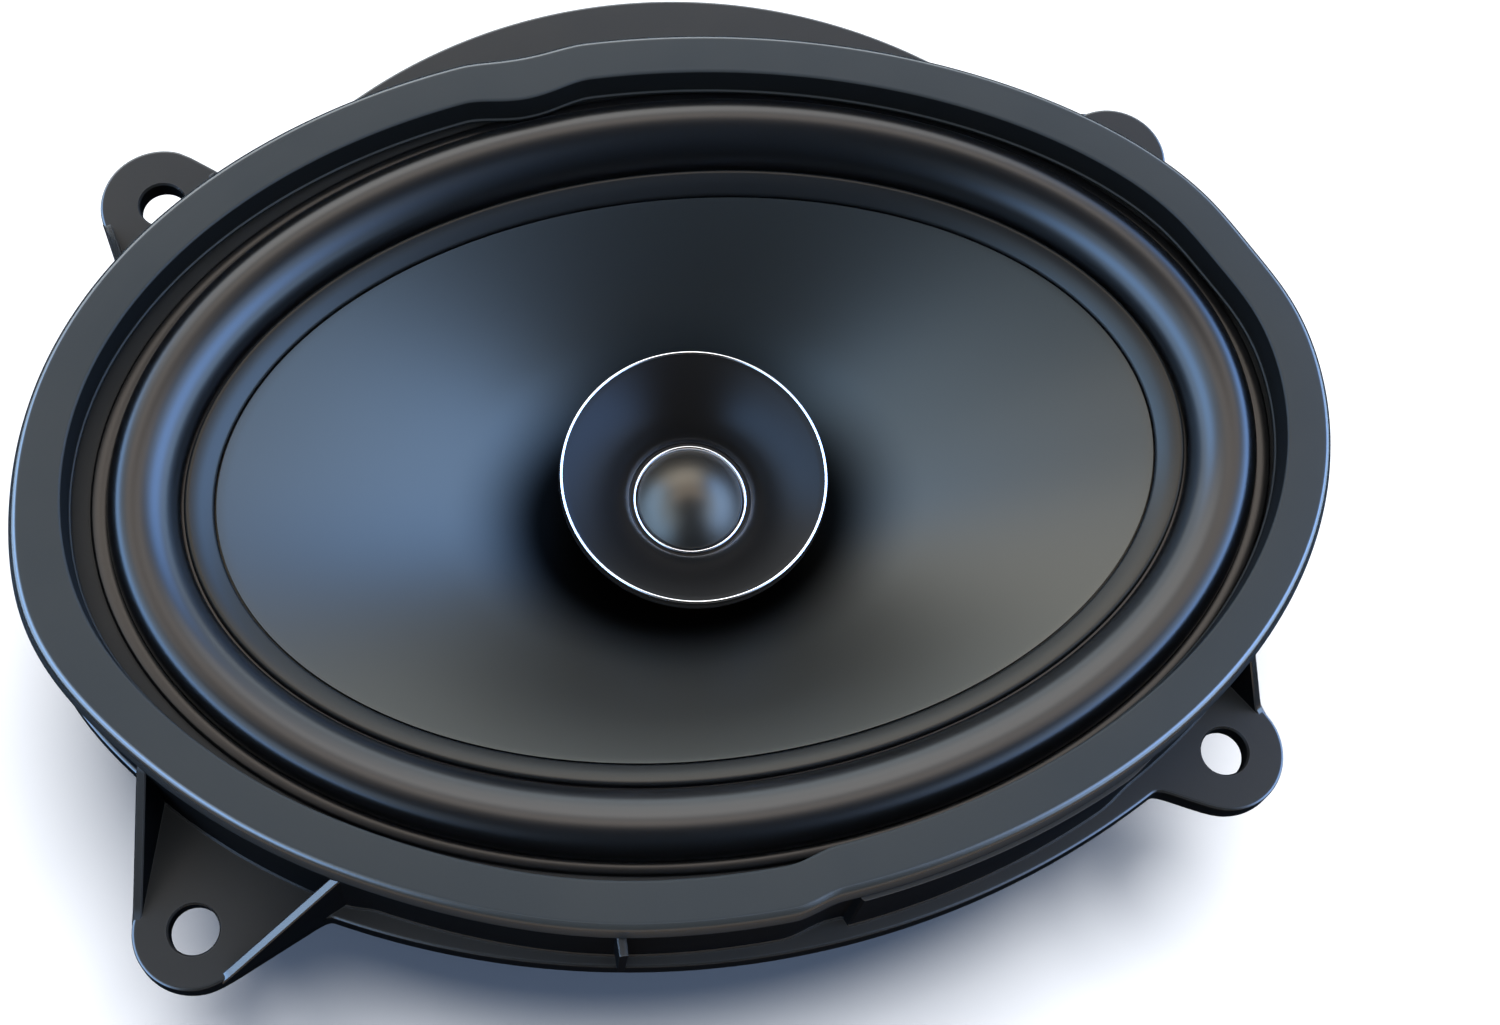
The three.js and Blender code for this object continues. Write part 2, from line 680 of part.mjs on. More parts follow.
place("basket", basket(), FRAME_PLASTIC);
place("front_ring", frontRing(), FRAME_PLASTIC);
place("flange_gasket", flangeGasket(), FOAM);
place("surround", surround(), RUBBER);
place("cone", cone(), CONE_FINISH);
place("spider", spider(), CLOTH);
const formerOuter = FORMER_RADIUS + FORMER_THICKNESS;
place("voice_coil_former", ringBetween(FORMER_RADIUS, formerOuter, -46, NECK_Z + 1.5), KAPTON);
const windingInner = formerOuter + GAP;
place("voice_coil_winding", ringBetween(windingInner, windingInner + WINDING_THICKNESS, -42, -29), COPPER);
place("top_plate", topPlate(), STEEL);
const magnetBottom = BACK_PLATE_TOP + GAP;
place("magnet", ringBetween(22, MAGNET_RADIUS, magnetBottom, magnetBottom + MAGNET_THICKNESS), FERRITE);
place("yoke", yoke(), STEEL);
place("rear_plug", postZ(NUT_RECESS.radius - GAP, REAR_Z, REAR_Z + 0.8, 0, 0, 24), HORN_PLASTIC);
rivetPlaces().forEach((spot, i) => place(`plate_rivet_${i + 1}`, rivet(spot), STEEL));

place("tweeter_stem", stem(), STEEL);
place("stem_nut", stemNut(), STEEL);
place("tweeter_housing", tweeterHousing(), HORN_PLASTIC);
const backCap = ringBetween(STEM_BORE, 14.6, TWEETER_BASE_Z - 2.8, TWEETER_BASE_Z - GAP);
place("tweeter_back_cap", backCap, HORN_PLASTIC);
const mouthRing = [
  [HORN_MOUTH_RADIUS - 0.7, HORN_MOUTH_Z + 0.3],
  [HORN_MOUTH_RADIUS, HORN_MOUTH_Z + 0.1],
  [HORN_MOUTH_RADIUS, HORN_MOUTH_Z + 0.8],
  [HORN_MOUTH_RADIUS - 0.7, HORN_MOUTH_Z + 0.8],
];
place("horn_trim_ring", roundSolid(mouthRing, 40), CHROME);
place("dome_trim_ring", ringBetween(DOME_RADIUS + GAP, 11.2, THROAT_Z - 0.2, THROAT_Z + 0.7), CHROME);
place("tweeter_dome", dome(), DOME_FILM);
place("tweeter_coil", ringBetween(9.1, 9.6, -2.4, 0.3), COPPER);
place("tweeter_pole_plate", postZ(8.7, -1.2, 0.2, 0, 0, 28), STEEL);
place("tweeter_magnet", postZ(8, -3.6, -1.5, 0, 0, 24), NEODYMIUM);
const cup = [[0, -5.7], [12.9, -5.7], [12.9, 0.5], [10.1, 0.5], [10.1, -3.9], [0, -3.9]];
place("tweeter_cup", roundSolid(cup, 28), STEEL);

place("terminal_block", terminalBlock(), HORN_PLASTIC);
place("terminal_positive", terminalBlade(-7, 6.3), TIN);
place("terminal_negative", terminalBlade(7, 4.8), TIN);
place("tinsel_lead_positive", tinselLead(-1), COPPER);
place("tinsel_lead_negative", tinselLead(1), COPPER);
place("tweeter_wire_positive", tweeterWire(-1), WIRE_COAT);
place("tweeter_wire_negative", tweeterWire(1), WIRE_COAT);
place("crossover_capacitor", capacitor(), FILM_BLUE);

export default speaker;
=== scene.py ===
"""Looks of the coaxial car speaker. Lengths are in millimetres and heights count from the ears' seat plane.
When a mesh is made, both become metres in the frame of the CAD part."""

import math
from collections import namedtuple

import bmesh
import bpy
import numpy as np
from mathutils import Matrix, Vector


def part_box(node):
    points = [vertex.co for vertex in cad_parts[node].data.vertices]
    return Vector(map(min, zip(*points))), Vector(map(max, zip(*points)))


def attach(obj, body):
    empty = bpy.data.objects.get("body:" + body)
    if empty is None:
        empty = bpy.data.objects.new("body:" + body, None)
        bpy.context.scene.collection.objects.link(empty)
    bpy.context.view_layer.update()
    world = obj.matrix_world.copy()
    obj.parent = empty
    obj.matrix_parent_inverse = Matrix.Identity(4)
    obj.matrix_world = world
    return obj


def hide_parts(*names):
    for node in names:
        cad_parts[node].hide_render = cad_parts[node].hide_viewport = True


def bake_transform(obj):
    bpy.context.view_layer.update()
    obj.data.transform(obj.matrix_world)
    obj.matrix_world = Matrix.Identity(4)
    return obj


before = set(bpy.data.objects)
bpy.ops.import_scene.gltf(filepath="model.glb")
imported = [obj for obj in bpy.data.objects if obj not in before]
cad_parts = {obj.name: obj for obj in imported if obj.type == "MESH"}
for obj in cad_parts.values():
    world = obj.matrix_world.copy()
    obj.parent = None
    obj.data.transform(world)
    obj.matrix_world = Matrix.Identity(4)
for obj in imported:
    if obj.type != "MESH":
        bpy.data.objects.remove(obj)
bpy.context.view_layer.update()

MM = 0.001
ROUND = 192  # segments of a turned piece
OVAL = 480  # segments of an oval piece
MINUS_Y, PLUS_Y = -math.pi / 2, math.pi / 2

# Heights of the main levels.
RING_TOP = 31.0
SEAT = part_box("front_ring")[1].z / MM - RING_TOP  # height of the ears' seat plane above the part's origin
REAR = -SEAT
WALL_TOP = 27.0
FLANGE_TOP = 5.0
REBATE_TOP = 1.6  # of the recess that holds the foam strip
LEDGE_TOP = 22.2  # of the ledge that carries the surround

# ---------------- sections
def smooth(u):
    c = np.clip(u, 0, 1)
    return c * c * (3 - 2 * c)


def rounded(corners, radius, steps):
    """A closed section with its corners rounded off. A corner is a tuple of numbers."""
    points = [np.array(c, float) for c in corners]
    out = []
    count = len(points)
    for i, here in enumerate(points):
        before, after = points[i - 1], points[(i + 1) % count]
        ends = []
        for other in (before, after):
            length = np.linalg.norm(other - here)
            ends.append(here + (other - here) * min(radius / max(length, 1e-6), 0.45))
        for k in range(steps + 1):
            t = k / steps
            out.append((1 - t) ** 2 * ends[0] + 2 * t * (1 - t) * here + t**2 * ends[1])
    return out


def ellipse(half_length, half_width, z, segments=OVAL):
    t = np.arange(segments) * 2 * math.pi / segments
    return np.stack([half_length * np.cos(t), half_width * np.sin(t), np.full(segments, z)], 1)


def circle(radius, z, segments=ROUND):
    return ellipse(radius, radius, z, segments)


# ---------------- meshes
def skin(loops, closed=True, caps=False):
    """Points and faces of a skin through equal loops. A closed skin joins its last loop to its first."""
    count = len(loops[0])
    points = np.concatenate(loops)
    faces = []
    for j in range(len(loops) if closed else len(loops) - 1):
        a, b = j * count, ((j + 1) % len(loops)) * count
        for i in range(count):
            k = (i + 1) % count
            faces.append((a + i, a + k, b + k, b + i))
    if caps:
        faces.append(tuple(reversed(range(count))))
        faces.append(tuple(range(len(points) - count, len(points))))
    return points, faces


def prism(outline, bottom, top):
    """A straight prism over a flat outline."""
    outline = np.asarray(outline, float)
    low = np.column_stack([outline, np.full(len(outline), bottom)])
    high = np.column_stack([outline, np.full(len(outline), top)])
    return skin([low, high], closed=False, caps=True)


def block(size, centre, bevel=0.0):
    """A box with its edges bevelled."""
    bm = bmesh.new()
    bmesh.ops.create_cube(bm, size=1)
    for v in bm.verts:
        v.co = Vector([v.co[k] * size[k] + centre[k] for k in range(3)])
    if bevel:
        bmesh.ops.bevel(bm, geom=bm.edges[:], offset=bevel, segments=3, profile=0.5, affect="EDGES")
    points = np.array([v.co for v in bm.verts])
    faces = [tuple(v.index for v in f.verts) for f in bm.faces]
    bm.free()
    return points, faces


def turned(corners, radius, segments=ROUND):
    """A solid of revolution about the Z axis, from the corners of its closed section."""
    return skin([circle(max(r, 0.0), z, segments) for r, z in rounded(corners, radius, 4)])


def spline_point(a, b, c, d, t):
    """A point between b and c on a smooth path through a, b, c and d."""
    bend = (2 * a - 5 * b + 4 * c - d) * t**2
    twist = (3 * b - a - 3 * c + d) * t**3
    return 0.5 * (2 * b + (c - a) * t + bend + twist)


def tube(points, radius, sides=16, steps=12):
    """A round wire along a smooth path."""
    p = np.array(points, float)
    padded = np.vstack([2 * p[0] - p[1], p, 2 * p[-1] - p[-2]])
    path = []
    for i in range(1, len(padded) - 2):
        a, b, c, d = padded[i - 1 : i + 3]
        path += [spline_point(a, b, c, d, t) for t in np.linspace(0, 1, steps, endpoint=False)]
    path.append(p[-1])
    path = np.array(path)
    side = np.array([0.31, 0.93, 0.2])  # any direction that no wire runs along
    loops = []
    for i, here in enumerate(path):
        along = path[min(i + 1, len(path) - 1)] - path[max(i - 1, 0)]
        along /= np.linalg.norm(along)
        side = side - along * (side @ along)
        side /= np.linalg.norm(side)
        other = np.cross(along, side)
        t = np.arange(sides)[:, None] * 2 * math.pi / sides
        loops.append(here + radius * (np.cos(t) * side + np.sin(t) * other))
    return skin(loops, closed=False, caps=True)


ALONG_X = np.array([[0, 0, -1], [0, 1, 0], [1, 0, 0]])  # lays what stood along Z along X
ALONG_Y = np.array([[1, 0, 0], [0, 0, 1], [0, -1, 0]])  # and along Y


def moved(part, offset, turn=None):
    points, faces = part
    return (points if turn is None else points @ turn) + offset, faces


def merged(*parts):
    """Several point-and-face sets as one."""
    points, faces, offset = [], [], 0
    for p, f in parts:
        points.append(np.asarray(p, float))
        faces += [tuple(i + offset for i in face) for face in f]
        offset += len(p)
    return np.concatenate(points), faces


def raw_object(name, part):
    points, faces = part
    mesh = bpy.data.meshes.new(name)
    placed = [(x * MM, y * MM, (z + SEAT) * MM) for x, y, z in points]
    mesh.from_pydata(placed, [], faces)
    bm = bmesh.new()
    bm.from_mesh(mesh)
    bmesh.ops.remove_doubles(bm, verts=bm.verts[:], dist=2e-7)
    bmesh.ops.dissolve_degenerate(bm, edges=bm.edges[:], dist=1e-8)
    bmesh.ops.recalc_face_normals(bm, faces=bm.faces[:])
    bm.to_mesh(mesh)
    bm.free()
    obj = bpy.data.objects.new(name, mesh)
    bpy.context.scene.collection.objects.link(obj)
    return obj


def combine(base, part, operation):
    """Joins a solid to the base, or cuts it out of the base."""
    tool = raw_object("tool", part)
    cut = base.modifiers.new("combine", "BOOLEAN")
    cut.operation, cut.solver, cut.object = operation, "MANIFOLD", tool
    bpy.context.view_layer.update()
    evaluated = base.evaluated_get(bpy.context.evaluated_depsgraph_get())
    result = bpy.data.meshes.new_from_object(evaluated)
    base.modifiers.clear()
    base.data = result
    bpy.data.objects.remove(tool)


def finished(obj, finish, nodes, body="frame", sharp=32, weighted=False):
    """Gives a made object its shading and finish, the CAD nodes it stands for and the body it rides on."""
    obj.data.materials.clear()
    obj.data.materials.append(finish.material)
    obj.data.shade_smooth()
    obj.data.set_sharp_from_angle(angle=math.radians(sharp))
    if weighted:
        normals = obj.modifiers.new("normals", "WEIGHTED_NORMAL")
        normals.keep_sharp = True
        normals.weight = 80
    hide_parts(*nodes)
    if body is not None:
        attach(obj, body)
    return obj


def piece(name, part, finish, nodes, body="frame", sharp=32):
    """A piece in one step, for a shape that needs no joining or cutting."""
    return finished(raw_object(name, part), finish, nodes, body, sharp)


# ---------------- node materials
class Tree:
    """A short way to write shader nodes: a socket is linked, and any other value is set."""

    def __init__(self, tree):
        self.tree = tree
        tree.nodes.clear()

    def node(self, kind, inputs=(), **settings):
        made = self.tree.nodes.new(kind)
        for key, value in settings.items():
            setattr(made, key, value)
        for key, value in dict(inputs).items():
            if isinstance(value, bpy.types.NodeSocket):
                self.tree.links.new(value, made.inputs[key])
            else:
                made.inputs[key].default_value = value
        return made

    def math(self, operation, a, b=0.0):
        return self.node("ShaderNodeMath", {0: a, 1: b}, operation=operation).outputs[0]

    def mix(self, factor, a, b):
        made = self.node("ShaderNodeMix", data_type="RGBA")
        for key, value in ((0, factor), (6, a), (7, b)):
            if isinstance(value, bpy.types.NodeSocket):
                self.tree.links.new(value, made.inputs[key])
            else:
                made.inputs[key].default_value = value if key == 0 else (*value, 1)
        return made.outputs[2]

    def blend(self, factor, a, b):
        return self.node("ShaderNodeMix", {0: factor, 2: a, 3: b}, data_type="FLOAT").outputs[0]

    def product(self, a, b):
        return self.math("MULTIPLY", a, b)

    def length(self, a, b):
        """The length of a flat vector with these two parts."""
        squared = self.math("ADD", self.product(a, a), self.product(b, b))
        return self.math("SQRT", squared)

    def vector(self, operation, a, b=(0, 0, 0), output=0):
        return self.node("ShaderNodeVectorMath", {0: a, 1: b}, operation=operation).outputs[output]

    def scaled(self, vector, factor):
        inputs = {0: vector, "Scale": factor}
        return self.node("ShaderNodeVectorMath", inputs, operation="SCALE").outputs[0]

    def parts(self, vector):
        return self.node("ShaderNodeSeparateXYZ", {0: vector}).outputs

    def geometry(self, output):
        return self.node("ShaderNodeNewGeometry").outputs[output]

    def ramp(self, value, low, high, to_low=0.0, to_high=1.0):
        inputs = {"Value": value, "From Min": low, "From Max": high, "To Min": to_low, "To Max": to_high}
        return self.node("ShaderNodeMapRange", inputs, interpolation_type="SMOOTHSTEP").outputs[0]

    def noise(self, scale, detail=3.0, vector=None):
        inputs = {"Scale": scale, "Detail": detail}
        if vector is not None:
            inputs["Vector"] = vector
        return self.node("ShaderNodeTexNoise", inputs).outputs["Fac"]

    def place(self):
        return self.node("ShaderNodeTexCoord").outputs["Object"]

    def output(self, kind, shader):
        """Ends the tree: the shader becomes the surface of a material or the world."""
        self.tree.links.new(shader.outputs[0], self.node(kind).inputs["Surface"])


Finish = namedtuple("Finish", "material slot")
EDGE_WIDTH = 0.35  # how far the paler edges, a painted highlight and wear, reach from an edge
OVAL_STRETCH = 1.35  # the cone's length over its width, part of the way up
NECK_PAINTED_SHADE = 0.02  # share of colour and sheen left by painted shade at the cone's neck


def edge_highlight_and_wear(t, base, edge):
    """Gives edges a paler colour, a painted highlight and wear: there a bevelled normal turns away from the
    real one.
    """
    bevel = t.node("ShaderNodeBevel", {"Radius": EDGE_WIDTH * MM}, samples=6).outputs[0]
    alike = t.vector("DOT_PRODUCT", bevel, t.geometry("Normal"), "Value")
    highlight_and_wear_share = t.ramp(alike, 0.98, 0.86)
    return t.mix(t.product(highlight_and_wear_share, 0.7), base, edge)


def outward_rounding(t):
    """1 where a surface rounds over and faces away from the axis, and 0 elsewhere."""
    normal = t.geometry("Normal")
    upward = t.parts(normal)[2]
    from_axis = t.vector("MULTIPLY", t.place(), (1, 1, 0))
    outward = t.vector("DOT_PRODUCT", normal, from_axis, "Value")
    rounding = t.product(t.ramp(upward, 0.25, 0.45), t.ramp(upward, 0.985, 0.93))
    return t.product(rounding, t.ramp(outward, 0.0, 0.015))


def painted_shade_by_slope(t, least):
    """Painted shade: from the least share of colour and sheen on upright faces up to 1 on sloping and flat
    ones.
    """
    upward = t.parts(t.geometry("Normal"))[2]
    return t.ramp(t.math("ABSOLUTE", upward), 0.1, 0.5, least, 1.0)


def painted_shade_by_distance(t, near, far):
    """Painted shade: from the dark near the axis up to 1 further out, along ovals like the cone's."""
    axes = t.parts(t.place())
    distance = t.length(axes[0], t.product(axes[1], OVAL_STRETCH))
    return t.ramp(distance, near * MM, far * MM, NECK_PAINTED_SHADE, 1.0)


def surface(name, color, tint, rough, rough_spread=0.06, metal=0.0, grain=900.0, bump=0.02, edge=None,
            patch=45.0, coat=0.0, stretch=None, specular=0.5, pattern=None, polish=None, sides=None,
            neck=None, sheen=(1, 1, 1), slot=None):
    """A moulded, painted or plated surface: slow colour patches, a fine grain and paler edges, a painted
    highlight and wear. Polish is the roughness and specular level where the surface rounds over. Sides is the
    share of colour and sheen left on upright faces, as painted shade. Neck is the two distances from the axis
    between which painted shade gives way to full colour and sheen."""
    material = bpy.data.materials.new(name)
    material.use_nodes = True
    t = Tree(material.node_tree)
    where = t.place()
    if stretch is not None:
        where = t.vector("MULTIPLY", where, stretch)
    slow = t.noise(patch, 4.0, where)
    fine = t.noise(grain, 2.0, where)
    base = t.mix(t.ramp(slow, 0.32, 0.68), color, tint)
    height = fine
    if pattern is not None:
        base, height = pattern(t, base, fine)
    # Paler edges: a painted highlight, and wear.
    if edge is not None:
        base = edge_highlight_and_wear(t, base, edge)
    uneven = t.product(t.math("SUBTRACT", slow, 0.5), rough_spread * 2)
    roughness = t.math("ADD", uneven, rough)
    relief = t.node("ShaderNodeBump", {"Height": height, "Strength": 1.0, "Distance": bump * MM})
    if polish is not None:
        rounding = outward_rounding(t)
        roughness = t.blend(rounding, roughness, polish[0])
        specular = t.blend(rounding, specular, polish[1])
    # Painted shade: upright faces lose colour and sheen.
    if sides is not None:
        left_by_painted_shade = painted_shade_by_slope(t, sides)
        base = t.scaled(base, left_by_painted_shade)
        specular = t.product(left_by_painted_shade, specular)
    # Painted shade: darker near the axis.
    if neck is not None:
        left_by_painted_shade = painted_shade_by_distance(t, *neck)
        base = t.scaled(base, left_by_painted_shade)
        specular = t.product(left_by_painted_shade, specular)
    shader = t.node("ShaderNodeBsdfPrincipled", {
        "Base Color": base, "Roughness": roughness, "Metallic": metal, "Normal": relief.outputs[0],
        "Coat Weight": coat, "Coat Roughness": 0.25, "Specular IOR Level": specular,
        "Specular Tint": (*sheen, 1),
    })
    t.output("ShaderNodeOutputMaterial", shader)
    return Finish(material, slot or name)


# Frame and ring: painted shade on upright faces, paler edges as a painted highlight and wear.
FRAME_PLASTIC = surface("frame_plastic", (0.025, 0.027, 0.029), (0.022, 0.024, 0.026), 0.45,
                        grain=1500, bump=0.012, edge=(0.08, 0.085, 0.095), specular=0.2,
                        polish=(0.22, 0.8), sides=0.12)
RING_PLASTIC = surface("ring_plastic", (0.042, 0.050, 0.057), (0.038, 0.046, 0.053), 0.48,
                       grain=1500, bump=0.010, edge=(0.11, 0.12, 0.14), specular=0.13,
                       polish=(0.2, 1.0), sides=0.25)
RUBBER = surface("surround_rubber", (0.003, 0.0033, 0.0036), (0.0024, 0.0026, 0.003), 0.29, 0.03,
                 grain=700, bump=0.004, patch=25, slot="rubber")
# The cone is painted darker towards its neck, as painted shade around the horn.
CONE_FINISH = surface("cone_finish", (0.008, 0.009, 0.009), (0.007, 0.008, 0.008), 0.38, 0.03,
                      grain=1100, bump=0.006, patch=20, specular=0.6, neck=(28, 46), sheen=(1, 0.97, 0.85))
BAND_FINISH = surface("band_finish", (0.006, 0.007, 0.008), (0.005, 0.006, 0.007), 0.36, 0.03,
                      grain=1100, bump=0.006, patch=20, edge=(0.12, 0.12, 0.13), specular=0.34,
                      sheen=(1, 0.95, 0.84), slot="rubber")
HORN_PLASTIC = surface("horn_plastic", (0.010, 0.010, 0.0105), (0.008, 0.008, 0.0085), 0.32, 0.03,
                       grain=1500, bump=0.006, edge=(0.03, 0.032, 0.036), specular=0.12)
BRIGHT_TRIM = surface("bright_trim", (0.82, 0.84, 0.87), (0.74, 0.76, 0.80), 0.14, 0.04, metal=1.0,
                      grain=500, bump=0.003, patch=80)
STEEL = surface("plated_steel", (0.42, 0.43, 0.45), (0.36, 0.37, 0.39), 0.34, 0.08, metal=1.0,
                grain=400, bump=0.006, edge=(0.62, 0.62, 0.64), patch=60)
FERRITE = surface("ferrite", (0.020, 0.021, 0.023), (0.034, 0.034, 0.036), 0.62, 0.08, metal=0.1,
                  grain=350, bump=0.05, edge=(0.07, 0.07, 0.075), patch=90)
NEODYMIUM = surface("neodymium", (0.55, 0.56, 0.58), (0.48, 0.49, 0.51), 0.25, 0.05, metal=1.0, bump=0.004)
FORMER_FILM = surface("former_film", (0.26, 0.12, 0.03), (0.20, 0.09, 0.02), 0.35, 0.05, bump=0.004)
DOME_FILM = surface("dome_film", (0.008, 0.0075, 0.007), (0.006, 0.006, 0.0055), 0.38, 0.02,
                    grain=1600, bump=0.004, patch=60, specular=0.8, sheen=(1, 0.88, 0.70))
FOAM = surface("foam", (0.012, 0.012, 0.013), (0.020, 0.020, 0.021), 0.95, 0.04,
               grain=1300, bump=0.25, patch=500)
TINNED_BRASS = surface("tinned_brass", (0.66, 0.64, 0.58), (0.58, 0.55, 0.48), 0.30, 0.08, metal=1.0,
                       grain=600, bump=0.006, edge=(0.8, 0.78, 0.7), stretch=(8, 1, 1))
WIRE_COAT = surface("wire_coat", (0.012, 0.012, 0.013), (0.017, 0.017, 0.018), 0.45, 0.05, bump=0.01)
CAPACITOR_FILM = surface("capacitor_film", (0.020, 0.060, 0.16), (0.015, 0.048, 0.13), 0.35, 0.05, coat=0.4,
                         bump=0.01, edge=(0.05, 0.11, 0.22))


def weave(spacing, warp_color):
    """Crossed threads, as a colour and height pattern in the plane across the axis."""

    def pattern(t, base, fine):
        axes = t.parts(t.place())
        pitch = 2 * math.pi / (spacing * MM)
        warp = t.math("SINE", t.product(axes[0], pitch))
        weft = t.math("SINE", t.product(axes[1], pitch))
        cross = t.product(warp, weft)
        height = t.math("ADD", t.product(cross, 0.5), fine)
        return t.mix(t.ramp(cross, -0.4, 0.9), base, warp_color), height

    return pattern


def windings(pitch, axis, dark):
    """Turns of wire laid side by side along an axis."""

    def pattern(t, base, fine):
        along = t.parts(t.place())[axis]
        wave = t.math("SINE", t.product(along, 2 * math.pi / (pitch * MM)))
        height = t.math("ADD", wave, t.product(fine, 0.2))
        return t.mix(t.ramp(wave, -0.3, -0.95), base, dark), height

    return pattern


SPIDER_CLOTH = surface("spider_cloth", (0.42, 0.26, 0.09), (0.35, 0.21, 0.07), 0.85, 0.05, bump=0.12,
                       pattern=weave(0.9, (0.24, 0.14, 0.045)))
COPPER_WIRE = surface("copper_wire", (0.62, 0.27, 0.12), (0.54, 0.22, 0.09), 0.28, 0.05, metal=1.0, bump=0.06,
                      pattern=windings(0.3, 2, (0.12, 0.04, 0.015)))
TINSEL = surface("tinsel", (0.55, 0.30, 0.14), (0.45, 0.24, 0.11), 0.4, 0.08, metal=1.0, bump=0.10,
                 pattern=windings(0.55, 1, (0.10, 0.05, 0.02)))

# ---------------- outline of the ring
RING_CENTRE_X = -1.4
HALF_LENGTH, HALF_WIDTH = 116.4, 82.2
EGG = 0.024  # how much fuller the -X end is
FACE_WIDTH = 8.0
# Gentle swells and hollows: direction and width in degrees, strength, and the share left at the inner edge.
SWELLS = [(33, 24, 0.008, 1), (20, 8, -0.010, 1), (-140, 30, -0.012, 1), (-166, 13, 0.0155, 0.35)]
NOTCH_X, NOTCH_HALF_LENGTH = -22, 12
NOTCH_DEPTH, NOTCH_DEEPER_INSIDE = 1.05, 0.9
SHOULDER_START, SHOULDER_RISE = -70, 50
SHOULDER_END, SHOULDER_FALL = 4, 9
SHOULDER_HEIGHT = 1.6


def swell(t, inset):
    """How much the outline swells in each direction, on the line that lies inset inside it."""
    sum_of_swells = np.ones_like(t)
    depth = np.clip(inset / FACE_WIDTH, 0, 1)
    for direction, width, gain, inner in SWELLS:
        away = (np.degrees(t) - direction + 180) % 360 - 180
        sum_of_swells += gain * (1 + (inner - 1) * depth) * np.exp(-((away / width) ** 2))
    return sum_of_swells


def ring_loop(inset, z, segments=OVAL * 2):
    """The ring's outline moved inwards: fuller at one end, with a notch on +Y and a shoulder on -Y."""
    t = np.arange(segments) * 2 * math.pi / segments
    x = RING_CENTRE_X + (HALF_LENGTH - inset) * np.cos(t) * swell(t, inset)
    y = (HALF_WIDTH - inset) * np.sin(t) * (1 - EGG * np.cos(t)) * swell(t, inset)
    notch = np.clip(1 - ((x - NOTCH_X) / NOTCH_HALF_LENGTH) ** 2, 0, 1) ** 2
    falling = smooth((x - SHOULDER_END) / SHOULDER_FALL)
    shoulder = smooth((x - SHOULDER_START) / SHOULDER_RISE) * (1 - falling)
    inner = smooth((inset - 2) / 4)
    notched = y - (NOTCH_DEPTH + NOTCH_DEEPER_INSIDE * inner) * notch
    y = np.where(y > 0, notched, y - SHOULDER_HEIGHT * shoulder)
    return np.stack([x, y, np.full(segments, z)], 1)


def ring_skin(corners, radius, steps):
    """A solid that follows the ring, from the corners of its section as inset and height."""
    return skin([ring_loop(inset, z) for inset, z in rounded(corners, radius, steps)])


# ---------------- front ring
LIP_BOTTOM = RING_TOP - 3.7
SKIRT_BOTTOM = 23.6
ring_section = [
    (0.8, RING_TOP), (-0.1, RING_TOP - 0.7), (-1.1, LIP_BOTTOM), (5.5, LIP_BOTTOM),
    (5.5, SKIRT_BOTTOM), (8.5, SKIRT_BOTTOM), (8.5, 24.4), (8.15, 24.6), (FACE_WIDTH, RING_TOP),
]
piece("ring_moulding", ring_skin(ring_section, 0.6, 6), RING_PLASTIC, ["front_ring"], sharp=50)

# ---------------- basket
SIDES = 1440  # directions in which the basket's outline is worked out
THETA = np.arange(SIDES) * 2 * math.pi / SIDES
DIRECTION = np.stack([np.cos(THETA), np.sin(THETA)], 1)
WALL_FOOT_OUTSET, WALL_TOP_OUTSET = 1.4, 0.8  # how far the wall stands outside the ring's outline
WALL_INNER = 1.7  # and how far inside that outline its inner face lies
INNER_RIM = 6  # the flange reaches this far inside the ring's outline
WALL_STEP = 0.9  # the -Y wall stands this far out or in on the two sides of its joint line
WALL_STEP_START, JOINT_X, WALL_STEP_END = -70, 15.5, 64
LONG_SIDE_RADIUS, LONG_SIDE_REACH = 160, 78  # arc of the flange's long sides, and half its length
LONG_SIDE_X, LONG_SIDE_Y = -1, 72.8  # how far the arc's centre is from the axis
CONNECTOR_LOBE = (1.1, 4.0, 101.9)  # centre and radius of the round lobe over the connector
HOLE_RADIUS = 4.35
CHANNEL_RIBS = 12
RIB_Y = -84.6  # where the upright rib stands on the -Y wall
# An ear has a round tip, given by its radius, and straight edges to roots on the oval's end and long side.
Ear = namedtuple("Ear", "centre tip end side side_rib")
EARS = [
    Ear((-92.6, 70.0), 12.0, (-98.5, 46.0), (-74.5, 64.0), True),
    Ear((-96.1, -68.7), 10.8, (-101.0, -45.0), (-70.0, -68.2), True),
    Ear((90.4, -61.4), 11.4, (93.8, -46.0), (74.0, -66.0), False),
    Ear((93.9, 60.6), 11.4, (95.2, 46.0), (74.0, 66.5), True),
]


def reach_of_loop(loop):
    """Distance of a loop from the axis in every direction."""
    angle = np.arctan2(loop[:, 1], loop[:, 0])
    order = np.argsort(angle)
    distance = np.hypot(loop[:, 0], loop[:, 1])
    return np.interp(THETA, angle[order] % (2 * math.pi), distance[order], period=2 * math.pi)


def reach_of_arc(cx, cy, radius, facing, half_angle):
    """Distance to a round lobe, which counts only within an angle of where it faces."""
    toward = DIRECTION @ np.array([cx, cy])
    far = toward + np.sqrt(np.maximum(radius**2 - cx**2 - cy**2 + toward**2, 0))
    point = DIRECTION * far[:, None] - (cx, cy)
    turn = np.arctan2(point[:, 1], point[:, 0]) - facing
    away = np.abs((turn + math.pi) % (2 * math.pi) - math.pi)
    return np.where(away < half_angle, far, 0)


def touch(ear, root, turn):
    """Where a line from a root touches the round tip of the ear, as an angle on the tip."""
    cx, cy = ear.centre
    to_root = math.atan2(root[1] - cy, root[0] - cx)
    return to_root + turn * math.acos(ear.tip / math.dist(root, ear.centre))


def tip_point(ear, angle):
    cx, cy = ear.centre
    return cx + ear.tip * math.cos(angle), cy + ear.tip * math.sin(angle)


def turn_of(ear):
    """Which way round the tip runs from the root on the oval's end to the one on its side."""
    return math.copysign(1, ear.centre[0] * ear.centre[1])


